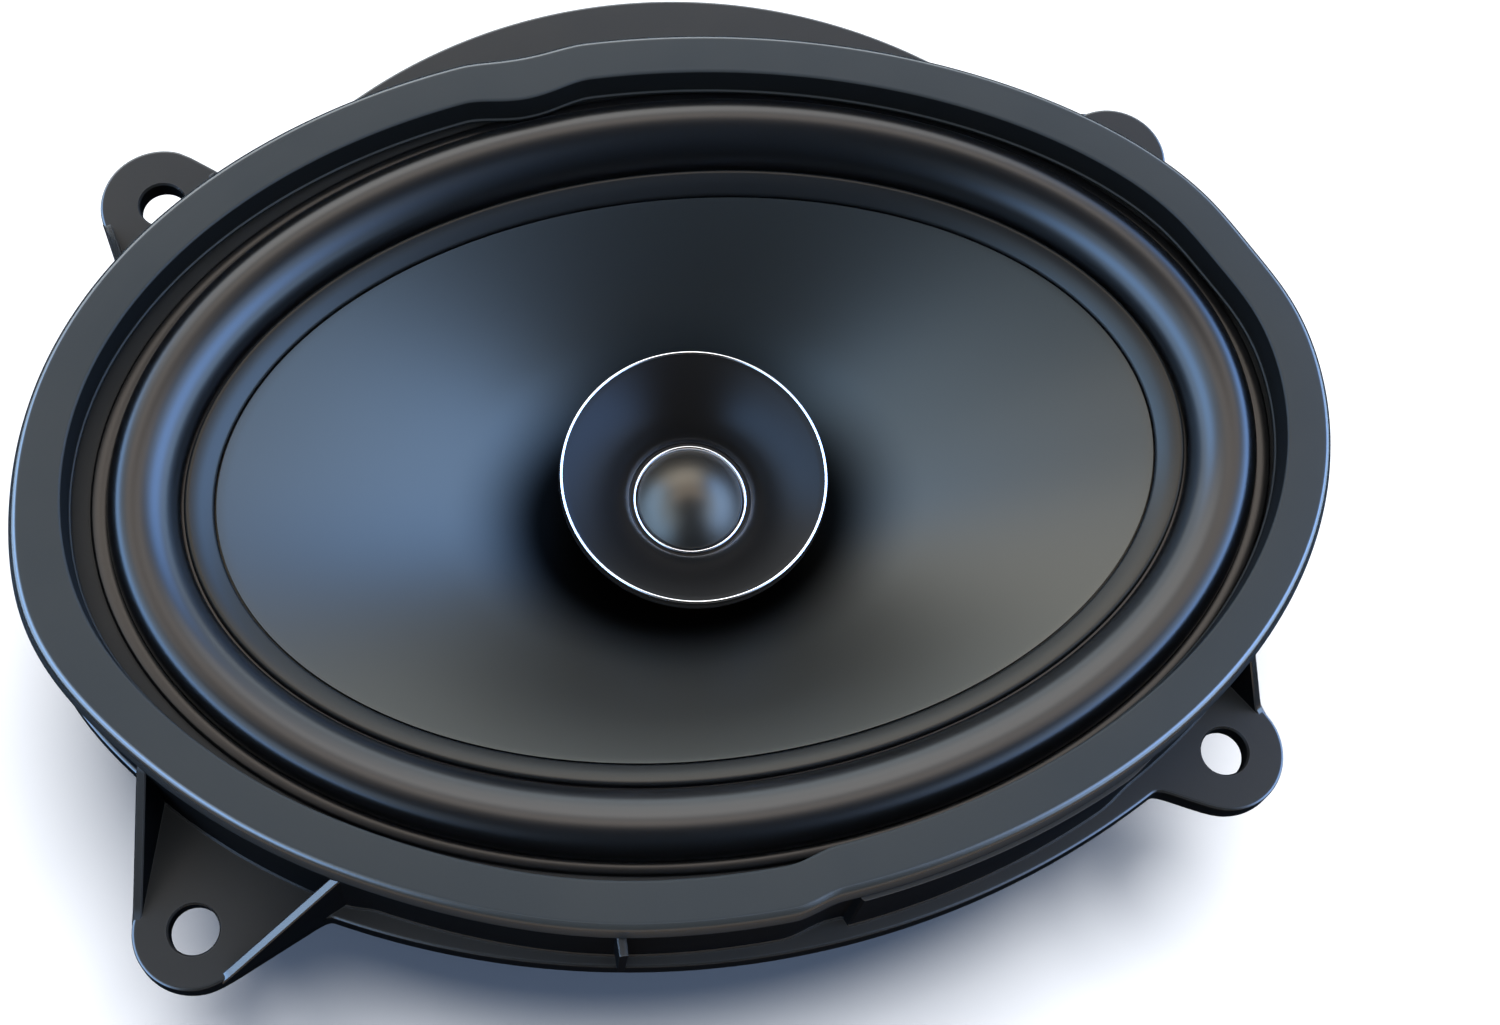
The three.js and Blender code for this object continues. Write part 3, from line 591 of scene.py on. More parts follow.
def reach_of_ear(ear):
    """Distance to the ear's outline: two straight edges and a round tip."""
    turn = turn_of(ear)
    a, b = touch(ear, ear.end, turn), touch(ear, ear.side, -turn)
    sweep = (b - a) % (2 * math.pi) if turn > 0 else -((a - b) % (2 * math.pi))
    tip = [tip_point(ear, a + sweep * u) for u in np.linspace(0, 1, 40)]
    outline = np.array([ear.end, *tip, ear.side])
    far = np.zeros(SIDES)
    for p, q in zip(outline[:-1], outline[1:]):
        edge = q - p
        along = DIRECTION[:, 0] * edge[1] - DIRECTION[:, 1] * edge[0]
        along = np.where(np.abs(along) < 1e-9, 1e-9, along)
        distance = (p[0] * edge[1] - p[1] * edge[0]) / along
        share = (p[0] * DIRECTION[:, 1] - p[1] * DIRECTION[:, 0]) / along
        far = np.maximum(far, np.where((distance > 0) & (share >= 0) & (share <= 1), distance, 0))
    return far


def softened(reach, samples):
    """The reach with its corners rounded, by averaging neighbours."""
    weights = np.hanning(2 * samples + 1)
    weights /= weights.sum()
    padded = np.concatenate([reach[-samples:], reach, reach[:samples]])
    return np.convolve(padded, weights, mode="valid")


def reach_of_long_side(facing):
    centre_y = -math.copysign(LONG_SIDE_Y, facing)
    half_angle = math.asin(LONG_SIDE_REACH / LONG_SIDE_RADIUS)
    return reach_of_arc(LONG_SIDE_X, centre_y, LONG_SIDE_RADIUS, facing, half_angle)


flange_reach = softened(np.max([
    reach_of_loop(ring_loop(-WALL_FOOT_OUTSET, 0)),
    reach_of_long_side(MINUS_Y),
    reach_of_long_side(PLUS_Y),
    reach_of_arc(*CONNECTOR_LOBE, PLUS_Y, 1.05),
    *[reach_of_ear(ear) for ear in EARS],
], axis=0), 3)


def polar_loop(reach, z):
    return np.column_stack([DIRECTION * reach[:, None], np.full(SIDES, z)])


def inset_loop(loop, distance):
    """A loop moved inwards along its own normals."""
    along = np.roll(loop, -1, 0)[:, :2] - np.roll(loop, 1, 0)[:, :2]
    along /= np.linalg.norm(along, axis=1)[:, None]
    moved = loop.copy()
    moved[:, 0] -= along[:, 1] * distance
    moved[:, 1] += along[:, 0] * distance
    return moved


def wall_reach(inset):
    """Distance to the raised wall. On -Y it steps out to the right of its joint line, and in to the left."""
    reach = reach_of_loop(ring_loop(inset, 0))
    x, y = (DIRECTION * reach[:, None]).T
    beyond_joint = smooth((x - JOINT_X) / 0.6)
    stepped_out = (y < 0) * beyond_joint * (1 - smooth((x - WALL_STEP_END) / 8))
    stepped_in = (y < 0) * smooth((x - WALL_STEP_START) / 5) * (1 - beyond_joint)
    return reach + WALL_STEP * stepped_out - WALL_STEP * stepped_in


def flange_loops():
    """The flange's rounded outer edge, from its underside to its top."""
    edge = [
        (0.7, 0.0), (0.1, 0.15), (0.0, 0.7), (0.25, FLANGE_TOP - 0.7), (0.4, FLANGE_TOP - 0.25),
        (0.65, FLANGE_TOP - 0.06), (1.0, FLANGE_TOP),
    ]
    return [inset_loop(polar_loop(flange_reach, z), inset) for inset, z in edge]


def wall_loops(flange_edge):
    """The raised wall, from its foot inside the flange's edge over its top and down its inner face."""
    foot = wall_reach(-WALL_FOOT_OUTSET)
    fillet = np.minimum(foot + 0.5, np.hypot(flange_edge[:, 0], flange_edge[:, 1]) - 0.05)
    return [
        polar_loop(fillet, FLANGE_TOP),
        polar_loop(np.minimum(foot + 0.1, fillet - 0.02), FLANGE_TOP + 0.5),
        polar_loop(wall_reach(-WALL_TOP_OUTSET), WALL_TOP),
        polar_loop(wall_reach(WALL_INNER), WALL_TOP),
        polar_loop(reach_of_loop(ring_loop(WALL_INNER, 0)), FLANGE_TOP),
    ]


def rim_loops():
    """The flange's inner rim and the recess under it."""
    corners = ((INNER_RIM, FLANGE_TOP), (INNER_RIM, REBATE_TOP), (-0.5, REBATE_TOP), (-0.5, 0))
    return [polar_loop(reach_of_loop(ring_loop(inset, 0)), z) for inset, z in corners]


outer_loops = flange_loops()
basket = raw_object("frame_moulding", skin(outer_loops + wall_loops(outer_loops[-1]) + rim_loops()))


def channel_seat():
    """The ledge between the wall and the bowl."""
    bottom = LEDGE_TOP - 3
    outer = reach_of_loop(ring_loop(1.2, 0))
    inner_top = reach_of_loop(ellipse(101.5, 69.5, 0, 960))
    inner_bottom = reach_of_loop(ellipse(101, 69, 0, 960))
    return skin([
        polar_loop(outer, bottom), polar_loop(outer, LEDGE_TOP),
        polar_loop(inner_top, LEDGE_TOP), polar_loop(inner_bottom, bottom),
    ])


def bowl():
    """The bowl from the ledge down to the spider's ledge and the plate on the magnet."""
    corners = [
        (104, 72, LEDGE_TOP - 1), (95.8, 65.2, 0), (53, 52, -21), (50, 50, -27.5), (40.8, 40.8, -27.5),
        (40.8, 40.8, -32), (19, 19, -32), (19, 19, -29.8), (38.5, 38.5, -29.8), (38.5, 38.5, -25),
        (48, 48, -25), (50, 49.5, -19.5), (93, 62.2, 1), (101.5, 69.5, LEDGE_TOP - 1),
    ]
    return skin([ellipse(a, b, z) for a, b, z in rounded(corners, 1.0, 3)])


def window(middle):
    """One of the openings between the bowl's spokes, with rounded corners."""
    half = 0.36  # half the angle it takes up
    outer = [(91 * math.cos(t), 61.8 * math.sin(t)) for t in middle + np.linspace(-half, half, 17)]
    inner = [(56 * math.cos(t), 53 * math.sin(t)) for t in middle + np.linspace(half, -half, 17)]
    return prism(rounded(outer + inner, 2.5, 4), -24.3, 12)


def gusset(ear, root, turn):
    """A thin triangular rib on the ear's edge that climbs to the wall."""
    start = np.array(tip_point(ear, touch(ear, root, turn)))
    along = np.array(root) - start
    run = np.linalg.norm(along) + 3
    along /= np.linalg.norm(along)
    across = np.array([along[1], -along[0]]) * (1 if turn > 0 else -1)
    base, top = FLANGE_TOP - 1.5, WALL_TOP - 1
    foot = [(1.5, FLANGE_TOP + 0.6), (-0.5, FLANGE_TOP - 0.6), (-0.5, base)]
    profile = rounded([foot[-1], (run, base), (run, top), (run - 2, top), *foot[:-1]], 1.2, 3)
    rows = []
    for depth, shrink in ((0.15, 0.3), (0.4, 0.0), (1.5, 0.0), (1.75, 0.3)):
        rows.append(np.array([[*(start + along * u + across * depth), z - shrink] for u, z in profile]))
    return skin(rows, closed=False, caps=True)


def upright_rib(x, half_width, low, high):
    """A small rib on the outside of the -Y wall, with a rounded lower end."""
    shoulder = half_width * 0.8
    outline = [(-half_width, high), (half_width, high), (shoulder, low + 2), (0, low), (-shoulder, low + 2)]
    shape = rounded(outline, 0.8, 3)
    front = np.array([[x + u * 0.8, RIB_Y - 1.5, z] for u, z in shape])
    back = np.array([[x + u, RIB_Y + 3.5, z] for u, z in shape])
    return skin([front, back], closed=False, caps=True)


def channel_rib(number):
    """One of the radial ribs between the bowl and the wall."""
    count = CHANNEL_RIBS
    angle = math.pi / count + number * 2 * math.pi / count
    start = np.array([96.5 * math.cos(angle), 66 * math.sin(angle)])
    end = ring_loop(0.6, 0, 2 * count)[2 * number + 1][:2]
    length, turn = np.linalg.norm(end - start), math.atan2(*(end - start)[::-1])
    top = LEDGE_TOP - 1
    points, faces = block((length, 2, top - REBATE_TOP), (0, 0, (top + REBATE_TOP) / 2), 0.3)
    spin = np.array([[math.cos(turn), math.sin(turn)], [-math.sin(turn), math.cos(turn)]])
    points[:, :2] = points[:, :2] @ spin + (start + end) / 2
    return points, faces


def ear_hole(ear):
    """The cutter of an ear's hole, wider at both mouths."""
    corners = [
        (0, -2), (5.0, -2), (4.9, -0.2), (HOLE_RADIUS, 0.5), (HOLE_RADIUS - 0.05, 4.5), (4.75, 5.1), (4.8, 9),
        (0, 9),
    ]
    return moved(turned(corners, 0.25, 96), (*ear.centre, 0))


def terminal_tab():
    """Upright tab beside the bowl that carries the terminal block."""
    bottom, top = -20, 20.2
    return block((52, 2.5, top - bottom), (9, 70.5, (top + bottom) / 2), 0.4)


def part_of(obj):
    """An object's mesh: points in this script's millimetres, and faces."""
    points = np.array([v.co for v in obj.data.vertices]) / MM
    points[:, 2] -= SEAT
    return points, [tuple(f.vertices) for f in obj.data.polygons]


combine(basket, channel_seat(), "UNION")
bowl_object = raw_object("bowl", bowl())
combine(bowl_object, merged(*[window(math.pi / 2 + i * math.pi / 3) for i in range(6)]), "DIFFERENCE")
combine(basket, part_of(bowl_object), "UNION")
bpy.data.objects.remove(bowl_object)
for ear in EARS:
    combine(basket, gusset(ear, ear.end, turn_of(ear)), "UNION")
    if ear.side_rib:
        combine(basket, gusset(ear, ear.side, -turn_of(ear)), "UNION")
combine(basket, merged(*[channel_rib(i) for i in range(CHANNEL_RIBS)]), "UNION")
combine(basket, upright_rib(-24.5, 1.0, 5.5, 26.8), "UNION")
combine(basket, terminal_tab(), "UNION")
combine(basket, merged(*[ear_hole(ear) for ear in EARS]), "DIFFERENCE")
finished(basket, FRAME_PLASTIC, ["basket"], sharp=28, weighted=True)

foam_section = [(5.7, 0.1), (-0.2, 0.1), (-0.2, 1.3), (5.7, 1.3)]
piece("foam_strip", ring_skin(foam_section, 0.4, 3), FOAM, ["flange_gasket"])

# ---------------- surround, cone and spider
FOOT_OUTER = (103.3, 71.7)
FOOT_INNER = (91.1, 58.9)
SEAM = (85.7, 54.2)
FOOT_OUTER_Z, FOOT_INNER_Z = 23.0, 20.2
ROLL_HEIGHT = 6.1
ROLL_STEPS = 36
CONE_EDGE_UNDERSIDE = 17.95  # the surround's part that is glued to the cone is flat below


def oval_skin(section):
    """A solid from the half length, half width and height of each line of its closed section."""
    return skin([ellipse(*line) for line in section])


def roll():
    """The half roll from its outer foot to its inner one."""
    lines = []
    for i in range(ROLL_STEPS + 1):
        turn = math.pi * i / ROLL_STEPS
        share = 0.5 - 0.5 * math.cos(turn)
        a, b = [outer + (inner - outer) * share for outer, inner in zip(FOOT_OUTER, FOOT_INNER)]
        base = FOOT_OUTER_Z + (FOOT_INNER_Z - FOOT_OUTER_Z) * share
        lines.append((a, b, base + ROLL_HEIGHT * math.sin(turn) ** 0.9))
    return lines


def surround_section():
    outer_band = [
        (106.3, 74.1, 22.7), (106.1, 73.9, 23.1), (105.8, 73.6, 23.2), (104.6, 72.75, 23.2),
        (103.5, 71.9, 23.15),
    ]
    inner_lip = [
        (90.75, 58.55, 20.2), (90.6, 58.4, 20.9), (90.45, 58.25, 21.3), (90.1, 57.95, 21.48),
        (89.6, 57.5, 21.45), (87.6, 55.8, 20.35), (86.1, 54.55, 19.3), (85.8, 54.3, 19.1), (*SEAM, 18.8),
        (*SEAM, 18.45),
    ]
    middle = roll()
    flat_foot, rolled = middle[0], middle[1:-1]
    lower = [(a, b, min(z - 0.8, 22.0)) for a, b, z in [*outer_band, flat_foot]]
    lower += [(a, b, z - 0.8) for a, b, z in rolled]
    lower += [(a, b, CONE_EDGE_UNDERSIDE) for a, b, z in [middle[-1], *inner_lip]]
    return outer_band + middle + inner_lip + lower[::-1]


def follow_radially(obj):
    """Bakes an annular sheet's placement into its mesh."""
    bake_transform(obj)


surround = piece("surround_roll", oval_skin(surround_section()), RUBBER, ["surround"], None, 60)
follow_radially(surround)

NECK = (16.5, 16.5, -15.0)
CONE_TOP = (85.35, 53.88, 18.75)  # where the cone's bare face ends at the glued band
BOW = 0.12  # share of its depth by which the cone's side bows out
CONE_THICKNESS = 1.0


def cone_line(u, drop=0.0):
    """An oval line of the cone's face: u is 0 at the neck and 1 at the band."""
    a, b = [neck + (top - neck) * u for neck, top in zip(NECK[:2], CONE_TOP[:2])]
    return a, b, NECK[2] + (CONE_TOP[2] - NECK[2]) * (u + BOW * u * (1 - u)) - drop


def cone_section():
    face = [cone_line(u) for u in np.linspace(0, 0.995, 48)]
    edge = [
        (85.35, 53.88, 18.72), (85.43, 53.95, 18.6), (85.45, 53.97, 17.7), (88.2, 56.5, 17.7),
        (88.2, 56.5, 16.9),
    ]
    underside = [cone_line(u, CONE_THICKNESS) for u in np.linspace(0.97, 0, 48)]
    return face + edge + underside


piece("cone_body", oval_skin(cone_section()), CONE_FINISH, ["cone"], "cone_assembly")

band_section = [
    (85.75, 54.25, 18.5), (85.8, 54.3, 19.15), (86.1, 54.55, 19.4), (87.6, 55.8, 20.45), (89.6, 57.5, 21.55),
    (90.1, 57.95, 21.6), (90.45, 58.25, 21.45), (90.65, 58.4, 21.0), (90.7, 58.5, 20.4), (89, 57, 19.6),
    (87, 55.4, 18.6),
]
piece("cone_edge_band", oval_skin(band_section), BAND_FINISH, [], "cone_assembly", 60)

SPIDER_Z = -24
SPIDER_INNER, SPIDER_WIDTH = 16.6, 27.4
SPIDER_WAVES, WAVE_HEIGHT = 7, 0.9
SPIDER_THICKNESS = 0.5


def spider_section():
    """Round waves that fade out towards both edges."""
    upper = []
    for u in np.arange(141) / 140:
        fade = smooth(u / 0.1) * smooth((1 - u) / 0.12)
        wave = WAVE_HEIGHT * fade * math.sin(2 * math.pi * SPIDER_WAVES * (u - 0.1))
        upper.append((SPIDER_INNER + SPIDER_WIDTH * u, SPIDER_Z + WAVE_HEIGHT / 2 + wave))
    return upper + [(r, z - SPIDER_THICKNESS) for r, z in upper[::-1]]


def round_skin(section):
    """A solid of revolution from every point of its closed section, with no rounding of its corners."""
    return skin([circle(r, z) for r, z in section])


spider = piece("spider_cloth_disc", round_skin(spider_section()), SPIDER_CLOTH, ["spider"], None, 60)
follow_radially(spider)


def collar(inner, outer, bottom, top, rounding):
    """A plain round collar, or a disc where inner is 0."""
    return turned([(inner, bottom), (outer, bottom), (outer, top), (inner, top)], rounding)


piece("coil_former", collar(15.7, 16.2, -46, -13.5, 0.1), FORMER_FILM,
      ["voice_coil_former"], "cone_assembly")
piece("coil_winding", collar(16.5, 17.1, -42, -29, 0.2), COPPER_WIRE,
      ["voice_coil_winding"], "cone_assembly")

# ---------------- motor
PLATE_RADIUS = 42
PLATE_TOP = -32.3
BACK_PLATE_TOP = REAR + 6
GROOVE_WIDTH = 5  # of the groove for the tweeter's wires
RIVET_CIRCLE = 28

piece("front_plate", collar(17.5, PLATE_RADIUS, PLATE_TOP - 6, PLATE_TOP, 0.6), STEEL, ["top_plate"])
piece("magnet_ring", collar(22, 45, -55.7, -38.7, 1.2), FERRITE, ["magnet"])

yoke_section = [
    (9, REAR), (PLATE_RADIUS, REAR), (PLATE_RADIUS, BACK_PLATE_TOP), (15.3, BACK_PLATE_TOP), (15.3, -31.5),
    (4.3, -31.5), (4.3, REAR + 6.6), (9, REAR + 6.6),
]
yoke = raw_object("back_plate", turned(yoke_section, 0.6))
combine(yoke, block((GROOVE_WIDTH, 46, 3.6), (0, 25, REAR + 1.6)), "DIFFERENCE")
finished(yoke, STEEL, ["yoke"], sharp=30, weighted=True)
piece("rear_cover", collar(0, 8.7, REAR, REAR + 0.8, 0.2), HORN_PLASTIC, ["rear_plug"])

rivet_section = [(0, -34.8), (1.8, -34.8), (1.8, -29.5), (3.2, -29.5), (3.0, -28.3), (0, -28.3)]
for i in range(4):
    t = math.pi / 4 + i * math.pi / 2
    spot = np.array([RIVET_CIRCLE * math.cos(t), RIVET_CIRCLE * math.sin(t), 0])
    piece(f"rivet_{i + 1}", moved(turned(rivet_section, 0.5, 48), spot), STEEL,
          [f"plate_rivet_{i + 1}"])

# ---------------- tweeter
MOUTH_Z, THROAT_Z = 14.3, 1.3
MOUTH_RIM_Z = MOUTH_Z + 0.4
BASE_Z = -6
STEM_RADIUS, STEM_BORE = 4, 2
STEM_BOTTOM = REAR + 2.7


def horn_point(u):
    """A point of the horn's flaring face: u is 0 at the throat and 1 at the mouth."""
    return 11.6 + 12.0 * u**1.5, THROAT_Z + (MOUTH_Z - THROAT_Z) * u**0.85


def horn_section():
    flare = [horn_point(u) for u in np.linspace(0.985, 0.0, 40)]
    foot = [(11.45, 1.4), (11.25, 1.0), (10.5, 1.0), (10.5, 0.8), (13.3, 0.8), (13.3, BASE_Z)]
    outside = [
        (14.8, BASE_Z), (15.2, BASE_Z + 0.5), (15.6, -1.5), (24.3, 11.2), (24.7, 12.0), (24.75, 13.4),
        (24.6, 14.1),
    ]
    return [(24.2, MOUTH_Z + 0.25), *flare, *foot, *outside]


def rim(radius, z, half_width, half_height):
    """A thin ring with an oval section."""
    turns = np.linspace(0, 2 * math.pi, 16, endpoint=False)
    return round_skin([(radius + half_width * math.cos(t), z + half_height * math.sin(t)) for t in turns])


def dome_section():
    upper = [(9.9 * u, 1.1 + 4.4 * (1 - u**2.1)) for u in np.linspace(0, 1, 32)]
    return upper + [(r, z - 0.4) for r, z in upper[::-1]]


horn = piece("tweeter_body", round_skin(horn_section()), HORN_PLASTIC, ["tweeter_housing"], sharp=40)
horn.visible_glossy = False  # the cone's sheen runs on behind it
piece("back_cap", collar(STEM_BORE, 14.4, BASE_Z - 2.8, BASE_Z - 0.3, 0.6), HORN_PLASTIC,
      ["tweeter_back_cap"])
piece("mouth_ring", rim(24.25, MOUTH_RIM_Z, 0.27, 0.26), BRIGHT_TRIM, ["horn_trim_ring"], sharp=80)
piece("throat_ring", rim(10.45, THROAT_Z + 0.05, 0.22, 0.22), BRIGHT_TRIM, ["dome_trim_ring"], sharp=80)
piece("dome_cap", round_skin(dome_section()), DOME_FILM, ["tweeter_dome"], "tweeter_diaphragm", 80)
piece("dome_coil", collar(9.1, 9.6, -2.4, 0.3, 0.1), COPPER_WIRE, ["tweeter_coil"], "tweeter_diaphragm")
piece("dome_plate", collar(0, 8.7, -1.2, 0.2, 0.3), STEEL, ["tweeter_pole_plate"])
piece("dome_magnet", collar(0, 8, -3.6, -1.5, 0.3), NEODYMIUM, ["tweeter_magnet"])
cup_section = [(0, -5.7), (12.9, -5.7), (12.9, 0.5), (10.1, 0.5), (10.1, -3.9), (0, -3.9)]
piece("dome_cup", turned(cup_section, 0.3), STEEL, ["tweeter_cup"])
stem_section = [
    (STEM_BORE, STEM_BOTTOM), (STEM_RADIUS, STEM_BOTTOM), (STEM_RADIUS, -11.1), (6.5, -11.1), (6.5, -9.1),
    (STEM_BORE, -9.1),
]
piece("stem_post", turned(stem_section, 0.4), STEEL, ["tweeter_stem"])

hexagon = [(6.8 * math.cos(t), 6.8 * math.sin(t)) for t in np.arange(6) * math.pi / 3]
nut = raw_object("stem_fixing_nut", prism(rounded(hexagon, 0.8, 3), STEM_BOTTOM, REAR + 6.3))
combine(nut, collar(0, STEM_RADIUS + 0.3, REAR, REAR + 8, 0.1), "DIFFERENCE")
finished(nut, STEEL, ["stem_nut"])

# ---------------- wiring
BLADE_Y = 76
BLADES = [("blade_wide", -7, 6.3, "terminal_positive"), ("blade_narrow", 7, 4.8, "terminal_negative")]


def blade_slot(x, width):
    return block((width + 0.6, 1.4, 6), (x, BLADE_Y, -13))


def blade_hole(x):
    pin = turned([(0, -2), (0.8, -2), (0.8, 2), (0, 2)], 0.02, 32)
    return moved(pin, (x, BLADE_Y, -19.5), ALONG_Y)


def tinsel_path(side):
    """From the terminal tab across the bowl's window to the underside of the cone."""
    x = 7 * side
    return [(x, 68.2, -11), (x, 60, -9), (x * 0.9, 52, -8.5), (x * 0.8, 43, -4), (x * 0.7, 36, -1.2)]


def tweeter_wire_path(side):
    """From the terminals down behind the magnet, along the yoke's groove and up through the stem."""
    x = 0.85 * side
    outside = [(4 * side, 75, -15.9), (3.5 * side, 73.5, -22.5), (3 * side, 66, -32), (1.2 * side, 52, -44)]
    groove = [(x, 47.6, -55), (x, 45, -59.9), (x, 30, -60.3), (x, 8, -60.3), (x, 2.8, -60.3), (x, 0.6, -59.7)]
    stem = [(x, 0, -57.5), (x, 0, -50), (x, 0, -30), (x, 0, BASE_Z - 0.4)]
    return outside + groove + stem


socket = raw_object("terminal_holder", block((28, 6, 12), (0, BLADE_Y - 0.7, -9), 0.7))
combine(socket, merged(*[blade_slot(x, width) for _, x, width, _ in BLADES]), "DIFFERENCE")
finished(socket, HORN_PLASTIC, ["terminal_block"])
for name, x, width, node in BLADES:
    blade = raw_object(name, block((width, 0.8, 12), (x, BLADE_Y, -16.2), 0.2))
    combine(blade, blade_hole(x), "DIFFERENCE")
    finished(blade, TINNED_BRASS, [node])
for side, sign in (("positive", -1), ("negative", 1)):
    lead = piece(f"braid_{side}", tube(tinsel_path(sign), 0.7), TINSEL, [f"tinsel_lead_{side}"], None)
    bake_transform(lead)
    piece(f"lead_wire_{side}", tube(tweeter_wire_path(sign), 0.55), WIRE_COAT,
          [f"tweeter_wire_{side}"])
can = turned([(0, -7.5), (4.5, -7.5), (4.5, 7.5), (0, 7.5)], 0.9, 64)
piece("film_capacitor", moved(can, (25.5, 76.6, -8.4), ALONG_X), CAPACITOR_FILM, ["crossover_capacitor"])

# ---------------- floor
scene = bpy.context.scene
scene.view_settings.view_transform = "Standard"

FLOOR_SPREAD, FLOOR_Z = 4.0, -0.0004  # in metres, just under the part
SEEN_FLOOR = ((0.075, 0.098, 0.145), (0.072, 0.095, 0.142))
BOUNCED_FLOOR = (0.008, 0.010, 0.014)
# The floor as glossy rays see it: painted shadow under the part, painted lit floor in front.
MIRRORED_FLOOR_SHADED, MIRRORED_FLOOR_LIT = (0.0008, 0.002, 0.005), (0.022, 0.019, 0.016)
FLOOR_GLOW = (0.55, 0.58, 0.62, 1)


def floor_surface():
    """Pale to the camera, dark to other rays and clear from below. To glossy rays it is painted dark under
    the part, as painted shadow, and lighter in front, as a painted lit floor. It glows for diffuse rays and,
    under the part, for glossy ones, so that the underside is lit."""
    material = bpy.data.materials.new("floor")
    material.use_nodes = True
    t = Tree(material.node_tree)
    ray = t.node("ShaderNodeLightPath").outputs
    seen = t.mix(t.noise(30.0, 3.0, t.place()), *SEEN_FLOOR)
    lit_floor_share = t.ramp(t.parts(t.geometry("Position"))[1], -0.115, -0.155)
    mirrored = t.mix(lit_floor_share, MIRRORED_FLOOR_SHADED, MIRRORED_FLOOR_LIT)
    unseen = t.mix(ray["Is Glossy Ray"], BOUNCED_FLOOR, mirrored)
    matte = t.node("ShaderNodeBsdfDiffuse", {"Color": t.mix(ray["Is Camera Ray"], unseen, seen)})
    from_origin = t.vector("LENGTH", t.geometry("Position"), output="Value")
    under_part = t.ramp(from_origin, 0.080, 0.060)
    glow = t.math("ADD", ray["Is Diffuse Ray"], t.product(ray["Is Glossy Ray"], under_part))
    uplight = t.node("ShaderNodeEmission", {"Color": FLOOR_GLOW, "Strength": glow})
    lit = t.node("ShaderNodeAddShader", {0: matte.outputs[0], 1: uplight.outputs[0]})
    clear = t.node("ShaderNodeBsdfTransparent")
    sides = {0: t.geometry("Backfacing"), 1: lit.outputs[0], 2: clear.outputs[0]}
    t.output("ShaderNodeOutputMaterial", t.node("ShaderNodeMixShader", sides))
    return material


square = ((-1, -1), (1, -1), (1, 1), (-1, 1))
floor_corners = [(x * FLOOR_SPREAD, y * FLOOR_SPREAD, FLOOR_Z) for x, y in square]
floor_mesh = bpy.data.meshes.new("floor")
floor_mesh.from_pydata(floor_corners, [], [(0, 1, 2, 3)])
floor = bpy.data.objects.new("floor", floor_mesh)
floor.data.materials.append(floor_surface())

on_floor = bpy.data.collections.new("lit_floor")
scene.collection.children.link(on_floor)
on_floor.objects.link(floor)

# ---------------- studio
class Sky:
    """Light from far away, by the direction it comes from. Angles are in degrees."""

    def __init__(self, t):
        self.t = t
        axes = t.parts(t.node("ShaderNodeTexCoord").outputs["Generated"])
        self.east, self.north = axes[0], axes[1]
        self.across = t.math("MAXIMUM", t.length(axes[0], axes[1]), 0.001)
        self.height = t.product(t.math("ARCSINE", axes[2]), 180 / math.pi)

    def belt(self, low, high, fade, light):
        """Soft light from all round, between two heights."""
        rise = self.t.ramp(self.height, low - fade, low + fade)
        fall = self.t.ramp(self.height, high + fade, high - fade)
        return self.t.scaled(light, self.t.product(rise, fall))

    def panel(self, azimuth, width, side_fade, low, high, fade, light):
        """A belt cut off at an angle on both sides of a compass direction, where 0 is +X and 90 is +Y."""
        t, a = self.t, math.radians(azimuth)
        along = t.math("ADD", t.product(self.east, math.cos(a)), t.product(self.north, math.sin(a)))
        facing = t.math("DIVIDE", along, self.across)
        dark_at = math.cos(math.radians(width + side_fade))
        full_at = math.cos(math.radians(width - side_fade))
        return t.scaled(self.belt(low, high, fade, light), t.ramp(facing, dark_at, full_at))

    def total(self, lights):
        result = lights[0]
        for light in lights[1:]:
            result = self.t.vector("ADD", result, light)
        return result


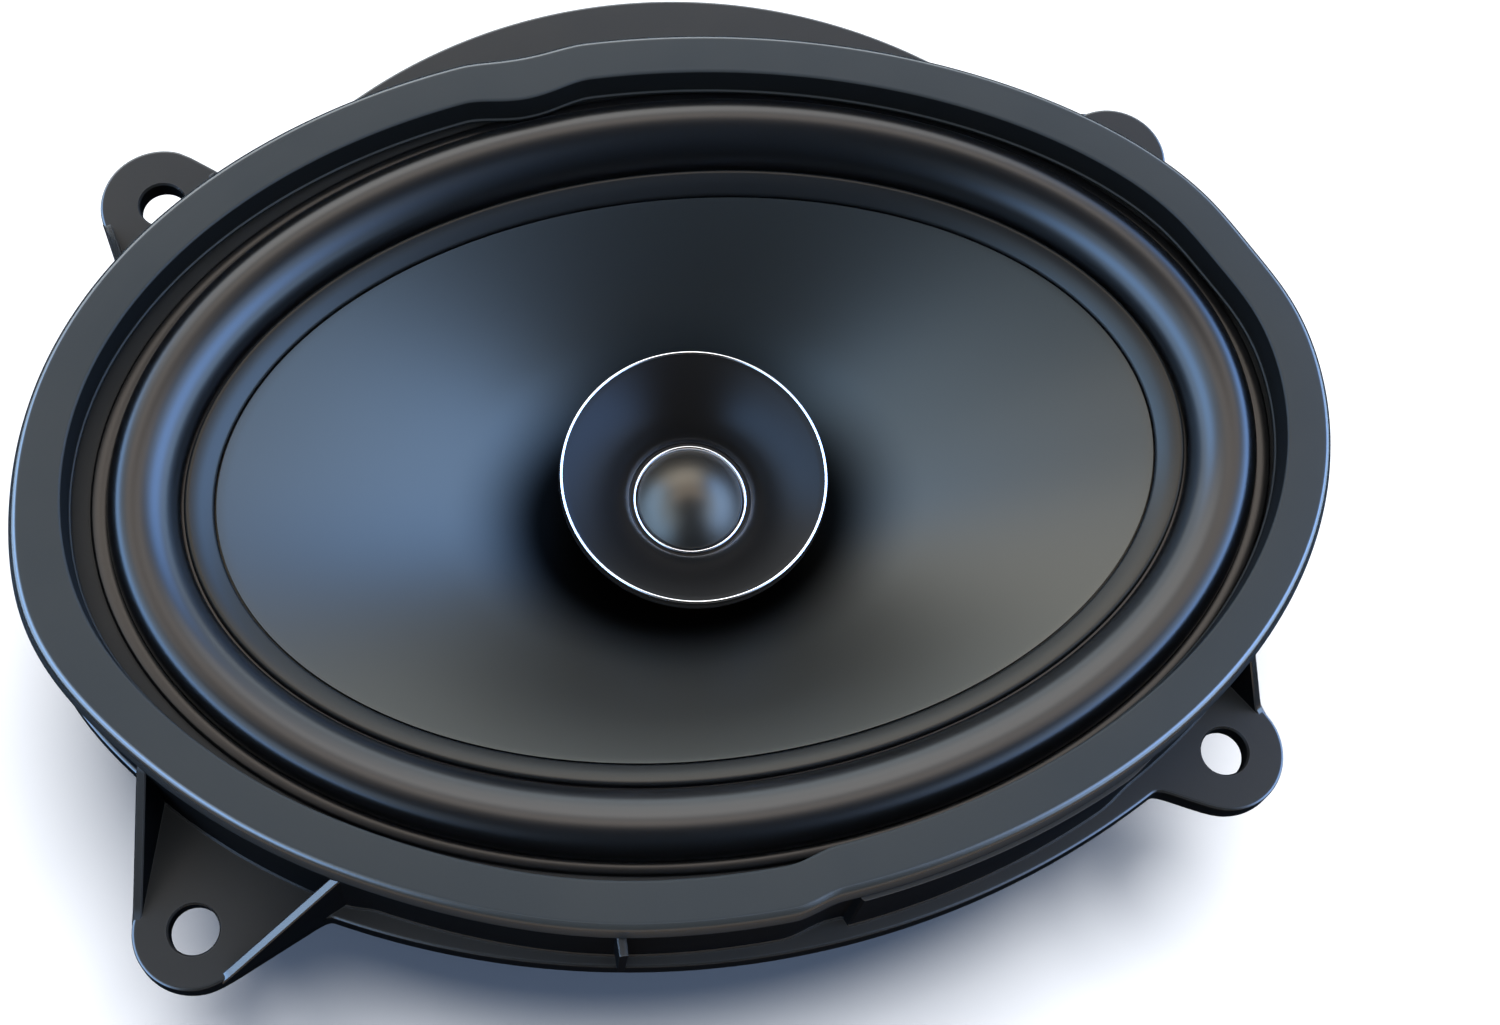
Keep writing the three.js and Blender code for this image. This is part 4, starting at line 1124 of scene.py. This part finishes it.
# Panels that are seen in what the part mirrors: compass direction, half width and side fade, then lowest and
# highest height and fade, then the light.
MIRRORED_PANELS = [
    (90, 75, 14, 61, 72, 6, (4.2, 3.7, 3.3)),  # +Y side, from high to low
    (95, 52, 24, -5, 34, 8, (1.3, 1.5, 1.65)),
    (90, 50, 14, 1, 10, 3, (2.6, 2.9, 3.2)),
    (98, 28, 18, 18, 38, 7, (2.8, 2.65, 2.5)),
    (90, 36, 14, 38, 54, 6, (4.6, 4.5, 4.4)),
    (-9, 34, 26, 10, 60, 8, (2.5, 3.3, 4.6)),  # +X side, bluer
    (-8, 42, 14, -12, 10, 6, (3.0, 4.6, 7.0)),
    (0, 40, 20, 21, 43, 6, (1.0, 3.0, 8.0)),
    (184, 40, 26, 10, 60, 8, (2.2, 2.7, 3.3)),  # -X side
    (180, 30, 14, -12, 10, 6, (3.0, 4.6, 7.0)),
    (182, 46, 14, 18, 38, 6, (1.1, 3.2, 7.2)),
]
SOFT_BELTS = [(30, 120, 14, (1.5, 1.47, 1.42)), (-10, 30, 10, (0.10, 0.15, 0.24))]


def studio():
    """Mirrored panels for glossy rays, soft belts for the other rays and plain white for the camera."""
    world = bpy.data.worlds.new("studio")
    world.use_nodes = True
    t = Tree(world.node_tree)
    sky = Sky(t)
    mirrored = sky.total([sky.panel(*panel) for panel in MIRRORED_PANELS])
    soft = sky.total([sky.belt(*belt) for belt in SOFT_BELTS])
    ray = t.node("ShaderNodeLightPath").outputs
    unseen = t.mix(ray["Is Glossy Ray"], soft, mirrored)
    color = t.mix(ray["Is Camera Ray"], unseen, (1, 1, 1))
    t.output("ShaderNodeOutputWorld", t.node("ShaderNodeBackground", {"Color": color, "Strength": 1.0}))
    # The kinds of ray see different light, so the world is not sampled as one lamp.
    world.cycles.sampling_method = "NONE"
    return world


def floor_lamp(name, location, target, size, energy, color):
    """A round lamp that lights the floor only."""
    data = bpy.data.lights.new(name, "AREA")
    data.shape, data.size, data.energy, data.color = "DISK", size, energy, color
    lamp = bpy.data.objects.new(name, data)
    lamp.location = location
    lamp.rotation_mode = "QUATERNION"
    lamp.rotation_quaternion = (Vector(target) - Vector(location)).to_track_quat("-Z", "Y")
    scene.collection.objects.link(lamp)
    lamp.light_linking.receiver_collection = on_floor


scene.world = studio()
floor_lamp("floor_light", (0.05, 0.17, 1.25), (0, 0, 0), 0.7, 290, (1, 0.77, 0.53))
floor_lamp("floor_fill", (0.15, -0.85, 0.45), (0, -0.05, 0), 0.8, 7, (0.75, 0.87, 1))

# ---------------- camera
camera = bpy.data.objects.new("camera", bpy.data.cameras.new("camera"))
camera.data.sensor_width, camera.data.lens = 36.0, 52.8
camera.data.clip_start, camera.data.clip_end = 0.02, 20
camera.location = (-0.04136, -0.13311, 0.45421)
camera.rotation_euler = [math.radians(a) for a in (19.045, -4.767, -8.486)]
scene.collection.objects.link(camera)
scene.camera = camera

bpy.context.view_layer.update()
